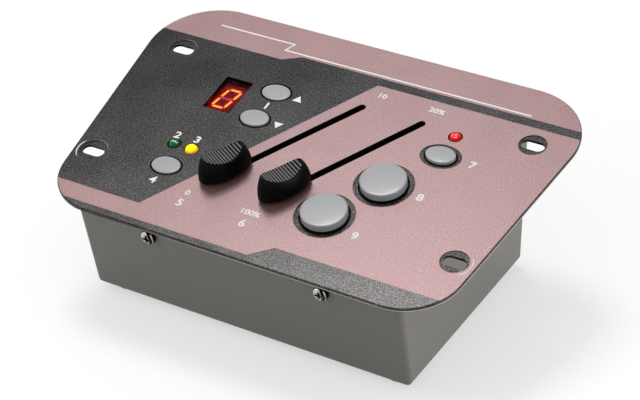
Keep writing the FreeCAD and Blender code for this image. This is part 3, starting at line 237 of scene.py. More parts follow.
# %% Group: flaked paint
tree, given, result = new_tree(
    "flaked_paint",
    {"Colour": GREY, "Flake Colour": GREY, "Flake Size": 0.08, "Flake Share": 0.4, "Softness": 0.12,
     "Ink Metal": 0.0, "Flake Metal": 1.0, "Grain Size": 0.45, "Tone Change": 0.6, "Roughness": 0.42},
    ["Colour", "Metal", "Roughness", "Height"])
CLOUD_TO_GRAIN, CLOUD_IN_TONE, CLOUD_IN_ROUGHNESS = 40.0, 0.2, 0.12
grain = noise(given.position, given.grain_size, 3.0)
cloud = noise(given.position, given.grain_size * CLOUD_TO_GRAIN)
tone = (grain + (cloud - 0.5) * CLOUD_IN_TONE - 0.5) * given.tone_change
cells = add(tree, "ShaderNodeTexVoronoi", {"Vector": given.position, "Scale": 1.0 / given.flake_size},
            "Color")
lots = wires(new_node(tree, "ShaderNodeSeparateColor", {0: cells}))
line = 1.0 - given.flake_share
is_flake = ramp(lots.red, line - given.softness, line + given.softness)
flake = brighten(given.flake_colour, ramp(lots.green, 0.0, 1.0, 0.7, 1.2))
flaked_paint = close_tree(
    result, colour=brighten(blend(is_flake, given.colour, flake), tone + 1.0),
    metal=mix(is_flake, given.ink_metal, given.flake_metal),
    roughness=given.roughness + (cloud - 0.5) * CLOUD_IN_ROUGHNESS, height=grain)

# %% [markdown]
# ## Moulded plastic
# Moulded parts are never quite even: the colour drifts over centimetres, the tool leaves a spark-eroded
# grain too fine to see as bumps, and handling polishes some of it. One group carries the three at named
# sizes, for caps, buttons, housings and feet alike.

# %% Group: moulded skin
tree, given, result = new_tree(
    "moulded_skin",
    {"Colour": GREY, "Drift Size": 9.0, "Drift": 0.08, "Grain Size": 0.15, "Roughness": 0.45,
     "Polish": 0.08},
    ["Colour", "Roughness", "Height"])
drift = noise(given.position, given.drift_size, 3.0)
grain = noise(given.position, given.grain_size)
value = (drift - 0.5) * given.drift + (grain - 0.5) * (given.drift * 1.5) + 1.0
moulded_skin = close_tree(result, colour=brighten(given.colour, value), height=grain,
                          roughness=given.roughness + (drift - 0.5) * given.polish)

# %% [markdown]
# ## Plated and drawn metal
# Zinc plate is cloudy and slightly stained, and turned or drawn parts keep fine lines along their length.
# A noise stretched along one axis makes the lines, a round one the clouds.

# %% Group: plated metal
tree, given, result = new_tree(
    "plated_metal",
    {"Colour": GREY, "Stain Colour": GREY, "Cloud Size": 3.0, "Line Size": 0.2, "Roughness": 0.3},
    ["Colour", "Roughness", "Height"])
STRETCH = (1.0, 0.08, 1.0)
cloud = noise(given.position, given.cloud_size, 4.0)
stretched = add(tree, "ShaderNodeVectorMath", {0: given.position, 1: STRETCH}, operation="MULTIPLY")
lines = noise(stretched, given.line_size)
plated_metal = close_tree(
    result, colour=blend(ramp(cloud, 0.35, 0.7), given.colour, given.stain_colour), height=lines,
    roughness=calc("ADD", given.roughness, (cloud + lines - 1.0) * 0.25, clamp=True))


# %% [markdown]
# ## Materials from the groups
# Each material keeps its own Principled shader and places one group in front of it with its own values. A
# Mapping node turns the object's coordinates into millimetres. What is the same all over a surface, such
# as its coat, is set on the shader itself. Every material is kept among the finishes by its name.

# %% Material builder
finishes = {}


def new_material(name, **shader):
    """A material with a Principled shader, whose uniform values are given by their plain names."""
    finishes[name] = material = bpy.data.materials.new(name)
    material.use_nodes = True
    surface = material.node_tree.nodes["Principled BSDF"]
    give(surface, **shader)
    return material.node_tree, surface


def object_position(tree):
    return add(tree, "ShaderNodeTexCoord", output="Object")


def millimetres(tree):
    """The object's own coordinates in millimetres."""
    return add(tree, "ShaderNodeMapping", {"Vector": object_position(tree), "Scale": (1 / MM,) * 3})


def panel_millimetres(tree, x=0.0, y=0.0):
    """Millimetres in the panel frame, counted from the point x, y on the printed face."""
    return add(tree, "ShaderNodeMapping",
               {"Vector": object_position(tree), "Location": panel_to_row @ Vector((x, y, 0.0)),
                "Rotation": (panel_tilt, 0.0, 0.0), "Scale": (MM,) * 3}, vector_type="TEXTURE")


def place_group(group, position, **values):
    """The group as a node with its values by name, and then its outputs."""
    node = new_node(position.tree, "ShaderNodeGroup", node_tree=group)
    give(node, position=position, **values)
    return wires(node)


def bumped(height, depth):
    """A normal from a height of 0 to 1 that stands for depth in millimetres."""
    return add(height.tree, "ShaderNodeBump", {"Height": height, "Distance": depth * MM})


def group_material(name, group, depth, values, **shader):
    """A material whose colour, roughness and bumps come from one group."""
    tree, surface = new_material(name, **shader)
    made = place_group(group, millimetres(tree), **values)
    give(surface, base_color=made.colour, roughness=made.roughness, normal=bumped(made.height, depth))


def plastic(name, tone, roughness, grain=0.15, depth=0.004, drift=0.1, **shader):
    values = {"colour": tone, "roughness": roughness, "grain_size": grain, "drift": drift}
    group_material(name, moulded_skin, depth, values, **shader)


def metal(name, tone, stain, roughness, cloud=3.0, lines=0.2, depth=0.002):
    values = {"colour": tone, "stain_colour": stain, "roughness": roughness, "cloud_size": cloud,
              "line_size": lines}
    group_material(name, plated_metal, depth, values, metallic=1.0)


# %% Plain finishes
plastic("foot_rubber", (28, 28, 28), 0.75, grain=0.3, depth=0.01)
plastic("cap_plastic", (3, 3, 3), 0.36, grain=0.12, depth=0.003, specular_ior_level=0.09)
# The crests' finish is a lighter copy of the black cap plastic: a painted highlight.
plastic("cap_crest", (80, 80, 79), 0.26, grain=0.12, depth=0.002, specular_ior_level=0.8)
# Painted shade for the buttons' feet.
plastic("shaded_plastic", (16, 16, 17), 0.6, specular_ior_level=0.1)
# Also used on the faders' frames and levers as painted shade.
plastic("black_steel", (14, 14, 15), 0.5, grain=0.3, specular_ior_level=0.15)
plastic("button_plastic", (156, 157, 159), 0.36, grain=0.2, depth=0.003, drift=0.06, coat_weight=0.5,
        coat_roughness=0.12)
plastic("plunger_plastic", (36, 36, 38), 0.5)
plastic("spacer_nylon", (222, 219, 206), 0.5, depth=0.003)
plastic("chip_plastic", (34, 34, 35), 0.6, grain=0.1, depth=0.006)
plastic("connector_plastic", (30, 30, 32), 0.4)
plastic("lead_jacket", (32, 32, 34), 0.55, grain=0.4, depth=0.01)
plastic("track_laminate", (104, 62, 34), 0.4, grain=0.3, drift=0.3)
plastic("ink_white", (238, 238, 236), 0.5, grain=0.4, drift=0.06)
metal("zinc_steel", (190, 192, 190), (160, 160, 150), 0.35)
metal("capacitor_can", (188, 190, 194), (150, 152, 158), 0.4, lines=0.5)
metal("tinned_wire", (196, 196, 194), (160, 158, 152), 0.32, lines=0.1)
metal("connector_metal", (176, 178, 180), (140, 140, 140), 0.3, cloud=6.0)
metal("contact_metal", (206, 190, 150), (170, 150, 110), 0.25, cloud=1.0)
print(len(finishes), "plain finishes")

# %% [markdown]
# A pan-head screw is so small and bright that it shows mostly what it mirrors: a pale patch towards the
# light, then a dark band and a thin bright one on its other side, and a dark rim. The dark band and the
# dark rim are painted reflection, placed by the way the surface faces.

# %% Screw finish
tree, surface = new_material("screw_steel", metallic=1.0)
made = place_group(plated_metal, millimetres(tree), colour=(206, 203, 196),
                   stain_colour=(150, 148, 140), cloud_size=1.5, roughness=0.2)
facing = split(add(tree, "ShaderNodeNewGeometry", output="Normal"))[0]
# Painted reflection: a dark band and a dark rim, by the way the surface faces.
dark_band = ramp(facing, 0.02, 0.12) * ramp(facing, 0.5, 0.42)
dark_rim = ramp(abs(facing), 0.55, 0.75)
give(surface, base_color=blend(larger(dark_band, dark_rim), made.colour, (12, 12, 11)),
     roughness=made.roughness, normal=bumped(made.height, 0.002))

# %% [markdown]
# ## The box's paint and the plate's
# The box is folded sheet steel with smooth, slightly glossy grey paint. What tells it from plastic is its
# orange peel, a very shallow waviness that bends reflections. The plate's paint is rough and full of
# flakes, so the same group serves both with other values.
#
# Where the plate and the sheet are punched, the cut edges lie in the dark, so they are painted near black:
# painted shade. They are the faces inside the outline that don't look the panel's way. Along the lower part
# of the plate's outer edge, except at the left end, a pale line is painted: a painted highlight where the
# edge catches the light. The dark finish is also painted paler towards the front right: painted sheen.

# %% Group: cut edges
HOLE = {"Hole X": 70.5, "Hole Y": 29.85}
tree, given, result = new_tree(
    "cut_edges",
    {"Facing": Vector(), "Panel Normal": Vector(panel_normal), "Inner Half Width": 66.0,
     "Inner Half Depth": 50.0, **HOLE, "Hole Reach": 5.5, "Burr Top": -0.95},
    ["Mask", "Burr"])
along = add(tree, "ShaderNodeVectorMath", {0: given.facing, 1: given.panel_normal}, "Value",
            operation="DOT_PRODUCT")
sideways = abs(along) < 0.5
x, y, z = split(given.position)
far_x, far_y = abs(x), abs(y)
in_field = (far_x < given.inner_half_width) * (far_y < given.inner_half_depth)
at_hole = [abs(far - middle) < given.hole_reach
           for far, middle in ((far_x, given.hole_x), (far_y, given.hole_y))]
inside = larger(in_field, at_hole[0] * at_hole[1])
# A pale line on the lower part of the outer edge, fading out towards the left: painted highlight.
highlight_span = (z < given.burr_top) * ramp(x, -50.0, -5.0)
# The mask marks the cut edges inside the outline for painted shade, near black.
cut_edges = close_tree(result, mask=sideways * inside, burr=sideways * (1.0 - inside) * highlight_span)


# %% Box paint and plate paint
def finish_cut_edges(position, paint):
    """The paint's colour with painted shade in holes and a painted edge highlight, and a mask of both."""
    facing = add(position.tree, "ShaderNodeNewGeometry", output="True Normal")
    edges = place_group(cut_edges, position, facing=facing)
    painted = blend(edges.burr, paint, (205, 202, 196))
    return blend(edges.mask, painted, (2, 2, 2)), larger(edges.mask, edges.burr)


def sheen_to_front_right(position):
    """How much painted sheen the dark finish gets: 0 at the rear left, 1 at the front right."""
    x, y, z = split(position)
    return ramp(x * 0.6 - y, -60.0, 75.0)


group_material("case_paint", flaked_paint, 0.012,
               {"colour": (115, 112, 107), "flake_colour": (129, 126, 121),
                "grain_size": 0.9, "flake_share": 0.04, "softness": 0.04, "tone_change": 0.06,
                "roughness": 0.34}, specular_ior_level=0.35)
tree, surface = new_material("panel_paint", specular_ior_level=0.15)
position = panel_millimetres(tree)
# The plate's flakes are painted paler towards the front right: painted sheen.
flakes = blend(sheen_to_front_right(position), (64, 63, 60), (84, 82, 78))
plate = place_group(flaked_paint, position, colour=(16, 16, 14), flake_colour=flakes,
                    grain_size=0.55, tone_change=5.0, roughness=0.33)
painted, edge = finish_cut_edges(position, plate.colour)
give(surface, base_color=painted, metallic=plate.metal * (1.0 - edge), roughness=plate.roughness,
     normal=bumped(plate.height, 0.05))
print(len(finishes), "finishes so far")

# %% [markdown]
# ## The printed sheet
# The sheet that covers the plate is dark grey with two dusty-pink fields: the title field along the back
# edge, and the large field that the faders and buttons stand in. Straight lines bound both, so a few
# comparisons of the panel's own X and Y draw them sharp at any size. The numbers are the corners of those
# lines in millimetres.

# %% Group: the two printed fields
tree, given, result = new_tree(
    "printed_fields",
    {"Title Edge Left": 38.0, "Title Edge Right": 41.8, "Title Step Start": -33.0,
     "Title Step End": -26.5, "Field Top": 38.0, "Field Bottom Left": -53.3,
     "Field Bottom Right": -47.0, "Bottom Step Start": 6.5, "Bottom Step End": 13.5,
     "Slant Top": 6.8, "Slant": 0.5611, "Strip Top": -46.3},
    ["Mask"])
x, y, z = split(given.position)
title_edge = ramp(x, given.title_step_start, given.title_step_end, given.title_edge_left,
                  given.title_edge_right)
bottom_edge = ramp(x, given.bottom_step_start, given.bottom_step_end, given.field_bottom_left,
                   given.field_bottom_right)
right_of_slant = x > given.slant_top + (y - given.field_top) * given.slant
between = (y < given.field_top) * (y > bottom_edge)
field = between * larger(right_of_slant, y < given.strip_top)
printed_fields = close_tree(result, mask=larger(field, y > title_edge))

# %% [markdown]
# Round each front mounting hole the sheet is pressed over a low rim, which shows as a thin crescent of
# light on the outer side: a smooth ridge at a fixed distance from the hole, with a pale painted highlight
# on its crest. At the left holes the punched edge also gets a fine pale line, on the side up the slope: a
# painted highlight.

# %% Group: pressed rims round the mounting holes
tree, given, result = new_tree(
    "pressed_rims", {**HOLE, "Rim Radius": 6.1, "Rim Width": 0.45, "Window Edge": 5.25},
    ["Height", "Wear", "Edge Light"])
x, y, z = split(given.position)
from_hole_x, from_hole_y = abs(x) - given.hole_x, abs(y) - given.hole_y
distance = root_of_squares(from_hole_x, from_hole_y)
off_ridge = abs(distance - given.rim_radius) / given.rim_width
outwards = from_hole_x * 0.98 + from_hole_y * 0.16
at_front = ramp(outwards, 4.2, 5.7) * (y < 0.0)
at_left = ramp(abs(distance - given.window_edge), 0.22, 0.12) * (x < 0.0)
upwards = from_hole_x * -0.35 + from_hole_y * calc("SIGN", y) * 0.94
# The ridge's pale crest and the left holes' edge lines are painted highlights.
pressed_rims = close_tree(
    result, height=ramp(off_ridge, 1.0, 0.0) * at_front, wear=ramp(off_ridge, 0.6, 0.2) * at_front,
    edge_light=at_left * ramp(upwards, 3.6, 5.0))

# %% Printed sheet material
tree, surface = new_material("panel_print", specular_ior_level=0.1)
position = panel_millimetres(tree)
mask = place_group(printed_fields, position).mask
pink = place_group(flaked_paint, position, colour=(160, 103, 105),
                   flake_colour=(122, 132, 131), flake_share=0.43, ink_metal=0.45,
                   flake_metal=0.92, grain_size=0.5, tone_change=1.2, roughness=0.4)
# The dark field's flakes are painted paler, with less grain, towards the front right: painted sheen.
wear = sheen_to_front_right(position)
flakes = blend(wear, (70, 69, 69), (113, 111, 110))
dark = place_group(flaked_paint, position, colour=(18, 17, 17), flake_colour=flakes,
                   grain_size=0.55, tone_change=ramp(wear, 0.0, 1.0, 5.2, 2.0), roughness=0.31)
rims = place_group(pressed_rims, position)
# Painted highlights on the rims' crests and along the left holes' edges.
with_crest_sheen = blend(rims.wear, blend(mask, dark.colour, pink.colour), (236, 230, 230))
lined = blend(rims.edge_light, with_crest_sheen, (122, 120, 117))
inked, edge = finish_cut_edges(position, lined)
not_metal = larger(edge, larger(rims.wear, rims.edge_light))
GRAIN_SHARE, RIM_SHARE, PRINT_DEPTH = 0.05, 0.2, 0.3
height = dark.height * GRAIN_SHARE + rims.height * RIM_SHARE
give(surface, base_color=inked, metallic=mix(mask, dark.metal, pink.metal) * (1.0 - not_metal),
     roughness=mix(mask, dark.roughness, pink.roughness), normal=bumped(height, PRINT_DEPTH))

# %% [markdown]
# ## Board and track
# The board inside is green solder mask over copper tracks, which show through as a lighter green. A brick
# pattern gives the straight runs.

# %% Group: tracks under the solder mask
tree, given, result = new_tree(
    "board_tracks", {"Mask Colour": GREY, "Track Colour": GREY, "Track Pitch": 2.54},
    ["Colour", "Height"])
WHITE, BLACK = (255, 255, 255), (0, 0, 0)
bricks = add(tree, "ShaderNodeTexBrick",
             {"Vector": given.position, "Color1": WHITE, "Color2": WHITE, "Mortar": BLACK,
              "Scale": 0.25 / given.track_pitch, "Mortar Size": 0.03, "Brick Width": 1.7,
              "Row Height": 0.25})
track = 1.0 - add(tree, "ShaderNodeRGBToBW", {0: bricks})
board_tracks = close_tree(result, colour=blend(track, given.mask_colour, given.track_colour),
                          height=track)

# %% Board material
tree, surface = new_material("board_laminate", roughness=0.3, coat_weight=0.4)
made = place_group(board_tracks, millimetres(tree), mask_colour=(22, 92, 50),
                   track_colour=(48, 130, 72))
give(surface, base_color=made.colour, normal=bumped(made.height, 0.035))

# %% [markdown]
# ## The display: a digit behind a red filter
# A one-digit display glows through a dark red filter. The lit segments are CAD nodes with a glowing
# finish, hottest along their middle line. Their spill over the display's face is painted on as a halo of
# glow: painted light. Both fade with the distance from the digit's outline, so a group works that out: how
# far a point is from a slanted frame, and how near to a joint where two segments meet. The filter is smooth
# red plastic that lets part of what is behind it through, and is given the same painted glow as the face
# behind it. Its underside lies right on that face, so it is left clear where a ray meets it from within.
# The display's face also carries a fainter painted glow, and the left and upper margins stay black,
# because the face ends there. The unlit segments are given a faint glow too: painted light.

# %% Group: the digit's outline
tree, given, result = new_tree(
    "digit_outline",
    {"Half Width": 2.55, "Half Height": 4.9, "Slant": 0.2, "Reach": 2.0, "Joint Reach": 0.75},
    ["Glow", "Joint"])
x, y, z = split(given.position)
beside = abs(x - y * given.slant) - given.half_width
above = abs(y) - given.half_height
outside = root_of_squares(larger(beside, 0.0), larger(above, 0.0))
inside = abs(calc("MINIMUM", larger(beside, above), 0.0))
to_joint = larger(calc("MINIMUM", abs(above), abs(y)), abs(beside))
digit_outline = close_tree(result, glow=ramp((outside + inside) / given.reach, 1.0, 0.0),
                           joint=ramp(to_joint, given.joint_reach, given.joint_reach * 0.6))

# %% Filter, face and segments
DISPLAY = (-42.2, 13.75)


def haloed_plastic(name, tone, roughness, **shader):
    """Dark red plastic with the digit's halo painted on it as glow: painted light."""
    tree, surface = new_material(name, emission_strength=0.36, **shader)
    position = panel_millimetres(tree, *DISPLAY)
    skin = place_group(moulded_skin, position, colour=tone, drift=0.1,
                       roughness=roughness, polish=0.1)
    halo = place_group(digit_outline, position).glow
    x, y, z = split(position)
    on_face = ramp(x, -4.3, -3.9) * ramp(y, 6.5, 6.0)
    # The face's faint glow and the halo are painted light.
    face_glow = blend(on_face, (10, 0, 1), (120, 0, 8))
    give(surface, base_color=skin.colour, roughness=skin.roughness,
         emission_color=blend(halo ** 1.6, face_glow, (255, 16, 0)))
    return tree, surface


haloed_plastic("display_plastic", (34, 4, 6), 0.5, specular_ior_level=0.1)
tree, surface = haloed_plastic("filter_red", (60, 2, 5), 0.16, specular_ior_level=0.12)
from_outside = 1.0 - add(tree, "ShaderNodeNewGeometry", output="Backfacing")
give(surface, alpha=from_outside * 0.4)

tree, surface = new_material("segment_lit", base_color=(60, 20, 10), roughness=0.35,
                             emission_strength=1.8)
outline = place_group(digit_outline, panel_millimetres(tree, *DISPLAY), reach=0.5)
core = blend(outline.glow, (255, 60, 0), (255, 214, 84))
give(surface, emission_color=blend(outline.joint, core, (196, 16, 40)))

# The unlit segments are given a faint pink glow: painted light.
tree, surface = new_material("segment_dark", base_color=(90, 10, 30), roughness=0.35,
                             emission_strength=0.9)
patches = noise(millimetres(tree), 1.2, 1.0)
glow = blend(ramp(patches, 0.3, 0.7), (255, 20, 100), (209.1, 16.4, 82.0))
give(surface, emission_color=glow, normal=bumped(patches, 0.01))
print(len(finishes), "finishes so far")

# %% [markdown]
# ## Indicator lights
# The three lights are 5 mm LEDs that just reach through the panel. Inside the clear dome the metal cup
# and its bond wire break up the light: the unlit green one shows a pale zigzag, the red one a handful of
# sparkles, the yellow one glows evenly. The zigzag and the sparkles are painted highlights, each dome is
# painted darker or deeper in colour towards its rim as painted shade, and the unlit green one is given a
# faint glow: painted light. A group draws both patterns from the lamp's own centre.

# %% Group: what shows inside an indicator light
tree, given, result = new_tree(
    "lamp_inside",
    {"Colour": GREY, "Glint Colour": GREY, "Rim Colour": GREY, "Zigzag Size": 0.55,
     "Zigzag Width": 0.24, "Sparkle Size": 0.5, "Sparkle Level": 2.0, "Cup Radius": 1.55},
    ["Colour"])
x, y, z = split(given.position)
zigzag = calc("PINGPONG", x, given.zigzag_size) - given.zigzag_size * 0.5
line = ramp(abs(y - zigzag), given.zigzag_width, given.zigzag_width * 0.4)
sparkle = ramp(noise(given.position, given.sparkle_size, 1.0), given.sparkle_level,
               given.sparkle_level + 0.05)
from_centre = root_of_squares(x, y)
in_cup = ramp(from_centre, given.cup_radius, given.cup_radius * 0.8)
to_rim = ramp(from_centre, given.cup_radius * 0.9, given.cup_radius * 1.55)
body = blend(to_rim, given.colour, given.rim_colour)
# Painted highlights (zigzag and sparkles) and painted shade towards the rim.
lamp_inside = close_tree(
    result, colour=blend(larger(line, sparkle) * in_cup, body, given.glint_colour))

# %% Indicator light materials
LAMPS = {"sound_lamp": (-45.3, -16.0), "auto_lamp": (-38.3, -16.0), "blackout_lamp": (44.4, 23.7)}


def lamp_finish(name, lamp, glow, tone, rim, glint, **values):
    tree, surface = new_material(name, roughness=0.1, specular_ior_level=0.15, emission_strength=glow)
    inside = place_group(lamp_inside, panel_millimetres(tree, *LAMPS[lamp]),
                         colour=tone, rim_colour=rim, glint_colour=glint,
                         **values).colour
    give(surface, base_color=inside, emission_color=inside)


# The green lamp is unlit, so its glow is painted light.
lamp_finish("lamp_green", "sound_lamp", 0.25, (0, 92, 44), (0, 26, 13), (190, 250, 214))
lamp_finish("lamp_yellow", "auto_lamp", 0.9, (255, 232, 10), (206, 118, 0), (255, 244, 90),
            zigzag_width=0.0)
lamp_finish("lamp_red", "blackout_lamp", 0.45, (226, 4, 12), (92, 0, 4), (255, 206, 212),
            zigzag_width=0.0, sparkle_level=0.58)
print(len(finishes), "finishes")

# %% [markdown]
# ## Dressing the CAD nodes
# Every imported node carries the name of its material slot, so its finish is found by that name. The nodes
# whose shape is right keep their mesh and only change their material. The faders' frames and levers get a
# black finish, painted shade, so that nothing shines up through the slots.

# %% Give each node its finish
slot_of = {name: node.material_slots[0].material.name for name, node in nodes.items()}
for name, node in nodes.items():
    node.material_slots[0].material = finishes[slot_of[name]]
# Black finish on the frames and levers: painted shade.
for fader in ("speed", "dimmer"):
    for part in ("frame", "lever"):
        nodes[f"{fader}_fader_{part}"].material_slots[0].material = finishes["black_steel"]
print(sorted(set(slot_of.values())))


# %% [markdown]
# ## From points to a finished piece
# Most pieces are turned shapes: a profile of radii and heights swept round an axis, listed so that the
# solid is on the left, which makes the faces point outwards. Two radii per ring let the same code make
# oval buttons.

# %% Mesh helpers
def turned(profile, segments=96):
    """Points and faces of a closed solid; a ring is a radius, or one in X and one in Y, and a height."""
    points, rings, faces = [], [], []
    for *radii, height in profile:
        count = segments if radii[0] else 1
        rings.append(range(len(points), len(points) + count))
        angles = [2 * math.pi * step / segments for step in range(count)]
        points += [(radii[0] * math.cos(angle), radii[-1] * math.sin(angle), height) for angle in angles]
    for low, high in zip(rings, rings[1:]):
        for step in range(segments):
            after = (step + 1) % segments
            around = (low[step % len(low)], low[after % len(low)],
                      high[after % len(high)], high[step % len(high)])
            faces.append(list(dict.fromkeys(around)))
    return points, faces


def edge_arc(radius_x, radius_y, height, inward, downward, steps):
    """Rings that round an upper edge, from the side to the top; radii and height are the sharp edge's."""
    angles = [math.pi / 2 * step / steps for step in range(steps + 1)]
    turn = [(inward * (1 - math.cos(angle)), downward * (1 - math.sin(angle))) for angle in angles]
    return [(radius_x - across, radius_y - across, height - down) for across, down in turn]


def to_mesh(name, points, faces, place=Matrix()):
    mesh = bpy.data.meshes.new(name)
    mesh.from_pydata([place @ Vector(point) for point in points], [], faces)
    return mesh


def to_scene(name, data):
    thing = bpy.data.objects.new(name, data)
    bpy.context.scene.collection.objects.link(thing)
    return thing


def final_mesh(thing):
    """The mesh that an object has after its modifiers, or that a text becomes; the object goes."""
    graph = bpy.context.evaluated_depsgraph_get()
    mesh = bpy.data.meshes.new_from_object(thing.evaluated_get(graph))
    bpy.data.objects.remove(thing)
    return mesh


def merged(name, meshes):
    """One mesh from several, which are removed; each keeps a material number of its own."""
    model = bmesh.new()
    for index, mesh in enumerate(meshes):
        mesh.polygons.foreach_set("material_index", [index] * len(mesh.polygons))
        model.from_mesh(mesh)
        bpy.data.meshes.remove(mesh)
    mesh = bpy.data.meshes.new(name)
    model.to_mesh(mesh)
    model.free()
    return mesh


def finish_piece(name, mesh, finish, body, stands_for=(), crease=35, second=None):
    """Makes the mesh a piece: smooth but for its creases, in its finish, riding on its body."""
    numbers = [face.material_index if second else 0 for face in mesh.polygons]
    mesh.materials.clear()
    for label in filter(None, (finish, second)):
        mesh.materials.append(finishes[label])
    mesh.polygons.foreach_set("material_index", numbers)
    mesh.shade_smooth()
    mesh.set_sharp_from_angle(angle=math.radians(crease))
    piece = to_scene(name, mesh)
    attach(piece, body)
    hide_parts(*stands_for)
    print(name, "has", len(mesh.polygons), "faces")


def on_panel(x, y, turn=0.0):
    """The place, as a matrix, of something drawn in millimetres round a point of the printed face."""
    return panel_to_row @ Matrix.Translation((x, y, 0.0)) @ Matrix.Rotation(math.radians(turn), 4, "Z")


# %% [markdown]
# ## Push buttons
# The buttons are moulded in light grey. The two large ones stand clear of the panel, the four oval ones
# are almost flush. All have a crisp rounded edge that catches the light, a barely crowned top and the
# small dimple that the mould's gate leaves. Below the panel a flange keeps them in and a socket sits on
# the switch's plunger. At the foot they lie in shade, so the faces below a shade line get a second, nearly
# black finish: painted shade, which draws the black line round each button.

# %% Button profiles
FLANGE_TOP, FLANGE_FOOT, FLANGE_REACH = -1.45, -2.25, 1.2
OVAL, ROUND = (5.45, 4.05), (8.05, 8.05)
OVAL_SOCKET = [(0.0, -4.0), (1.65, -4.0), (1.65, -5.2), (2.95, -5.2)]
ROUND_SOCKET = [(0.0, -0.5), (2.05, -0.5), (2.05, -3.0), (3.35, -3.0), (3.35, 1.5), (6.55, 1.5)]
GATE_MARK = [(0.55, 0.0), (0.35, -0.01), (0.2, -0.01), (0.0, -0.01)]
EDGE_DROP = 0.3


def button(name, x, y, socket, half, height, edge, crown, shade_line, segments):
    """A button from the socket under it, round the flange, up the side and over the edge to the middle."""
    half_x, half_y = half
    out_x, out_y = half_x + FLANGE_REACH, half_y + FLANGE_REACH
    profile = socket + [(socket[-1][0], FLANGE_FOOT), (out_x, out_y, FLANGE_FOOT),
                        (out_x, out_y, FLANGE_TOP), (half_x, half_y, FLANGE_TOP),
                        (half_x, half_y, shade_line)]
    profile += edge_arc(half_x, half_y, height - crown, edge, EDGE_DROP, steps=7)
    profile += [((half_x - edge) * share, (half_y - edge) * share, height - crown * share ** 2)
                for share in (0.92, 0.75, 0.5, 0.25, 0.12)]
    profile += [(radius, height + level) for radius, level in GATE_MARK]
    points, faces = turned(profile, segments)
    mesh = to_mesh(f"{name}_top", points, faces, on_panel(x, y))
    for face, corners in zip(mesh.polygons, faces):
        middle = sum(points[corner][2] for corner in corners) / len(corners)
        # Faces below the shade line get the painted shade.
        face.material_index = int(middle < shade_line)
    finish_piece(f"{name}_key_top", mesh, "button_plastic", f"{name}_key", [f"{name}_button"],
                 second="shaded_plastic")


# %% Buttons
OVAL_BUTTONS = {"chase_up": (-25.45, 21.2, 0.3), "chase_down": (-25.45, 6.0, 0.8),
                "mode": (-41.85, -26.75, 0.6), "blackout": (44.15, 13.0, 1.2)}
for name, (x, y, height) in OVAL_BUTTONS.items():
    button(name, x, y, OVAL_SOCKET, OVAL, height, 0.5, 0.08, -0.05, 96)
for name, x, y in (("full_on", 32.8, -6.9), ("single_flash", 21.3, -27.3)):
    button(name, x, y, ROUND_SOCKET, ROUND, 3.0, 0.7, 0.15, 0.25, 128)

# %% [markdown]
# ## Indicator light bodies
# An LED's body is a dome on a cylinder with a rim at its foot.

# %% Lamps
LAMP_RADIUS, LAMP_TOP, LAMP_FOOT = 2.45, 1.2, [(0.0, -7.5), (2.9, -7.5), (2.9, -6.5), (2.45, -6.5)]
dome = edge_arc(LAMP_RADIUS, LAMP_RADIUS, LAMP_TOP, 2.35, 2.35, steps=14)
for name, (x, y) in LAMPS.items():
    mesh = to_mesh(name, *turned(LAMP_FOOT + dome + [(0.0, LAMP_TOP)], 64), on_panel(x, y))
    finish_piece(f"{name}_body", mesh, slot_of[name], "housing", [name])

# %% [markdown]
# ## Fader caps
# Each cap is a lens-shaped finger rest in black plastic: its sides bulge, its ends are narrow and round,
# it narrows upwards, and the top is dished deeply along its length. A stack of outlines makes the body.
# The outline is a superellipse, between an ellipse and a rectangle, because its two exponents set how
# full the ends and the sides are. The grip ridges repeat, so they come next.

# %% Cap outline and dish
CAP_FOOT, CAP_TOP, CAP_DISH, CAP_LEAN = 0.9, 10.4, 2.7, 0.4
CAP_BASE, CAP_UPPER = (10.1, 5.2), (7.9, 3.95)
CAP_BULGE, CAP_TUCK, TUCK_SHARE = 2.2, 0.35, 0.06
RIM, RIM_DEPTH = 0.3, 0.25
END_FULLNESS, SIDE_FULLNESS = 1.9, 2.0
ROUND_STEPS = 96


def cap_outline(half_x, half_y):
    """Points of the superellipse, counter-clockwise from +X."""
    def swollen(value, fullness):
        return math.copysign(abs(value) ** (2 / fullness), value)
    angles = [2 * math.pi * step / ROUND_STEPS for step in range(ROUND_STEPS)]
    return [(half_x * swollen(math.cos(angle), END_FULLNESS),
             half_y * swollen(math.sin(angle), SIDE_FULLNESS)) for angle in angles]


def dished(x):
    """The height of the dished top at a distance along the cap; the front end stands a little higher."""
    along = x / CAP_UPPER[0]
    return CAP_TOP - CAP_DISH * (1 - along ** 2) - CAP_LEAN * along


def cap_side(share):
    """The outline, with heights, at a share of the way from foot to rim; the sides are convex."""
    bulge = share ** CAP_BULGE
    tuck = CAP_TUCK * max(0.0, 1 - share / TUCK_SHARE) ** 2
    half_x, half_y = [base + (upper - base) * bulge - tuck for base, upper in zip(CAP_BASE, CAP_UPPER)]
    return [(x, y, CAP_FOOT + share * (dished(x * CAP_UPPER[0] / half_x) - CAP_FOOT))
            for x, y in cap_outline(half_x, half_y)]


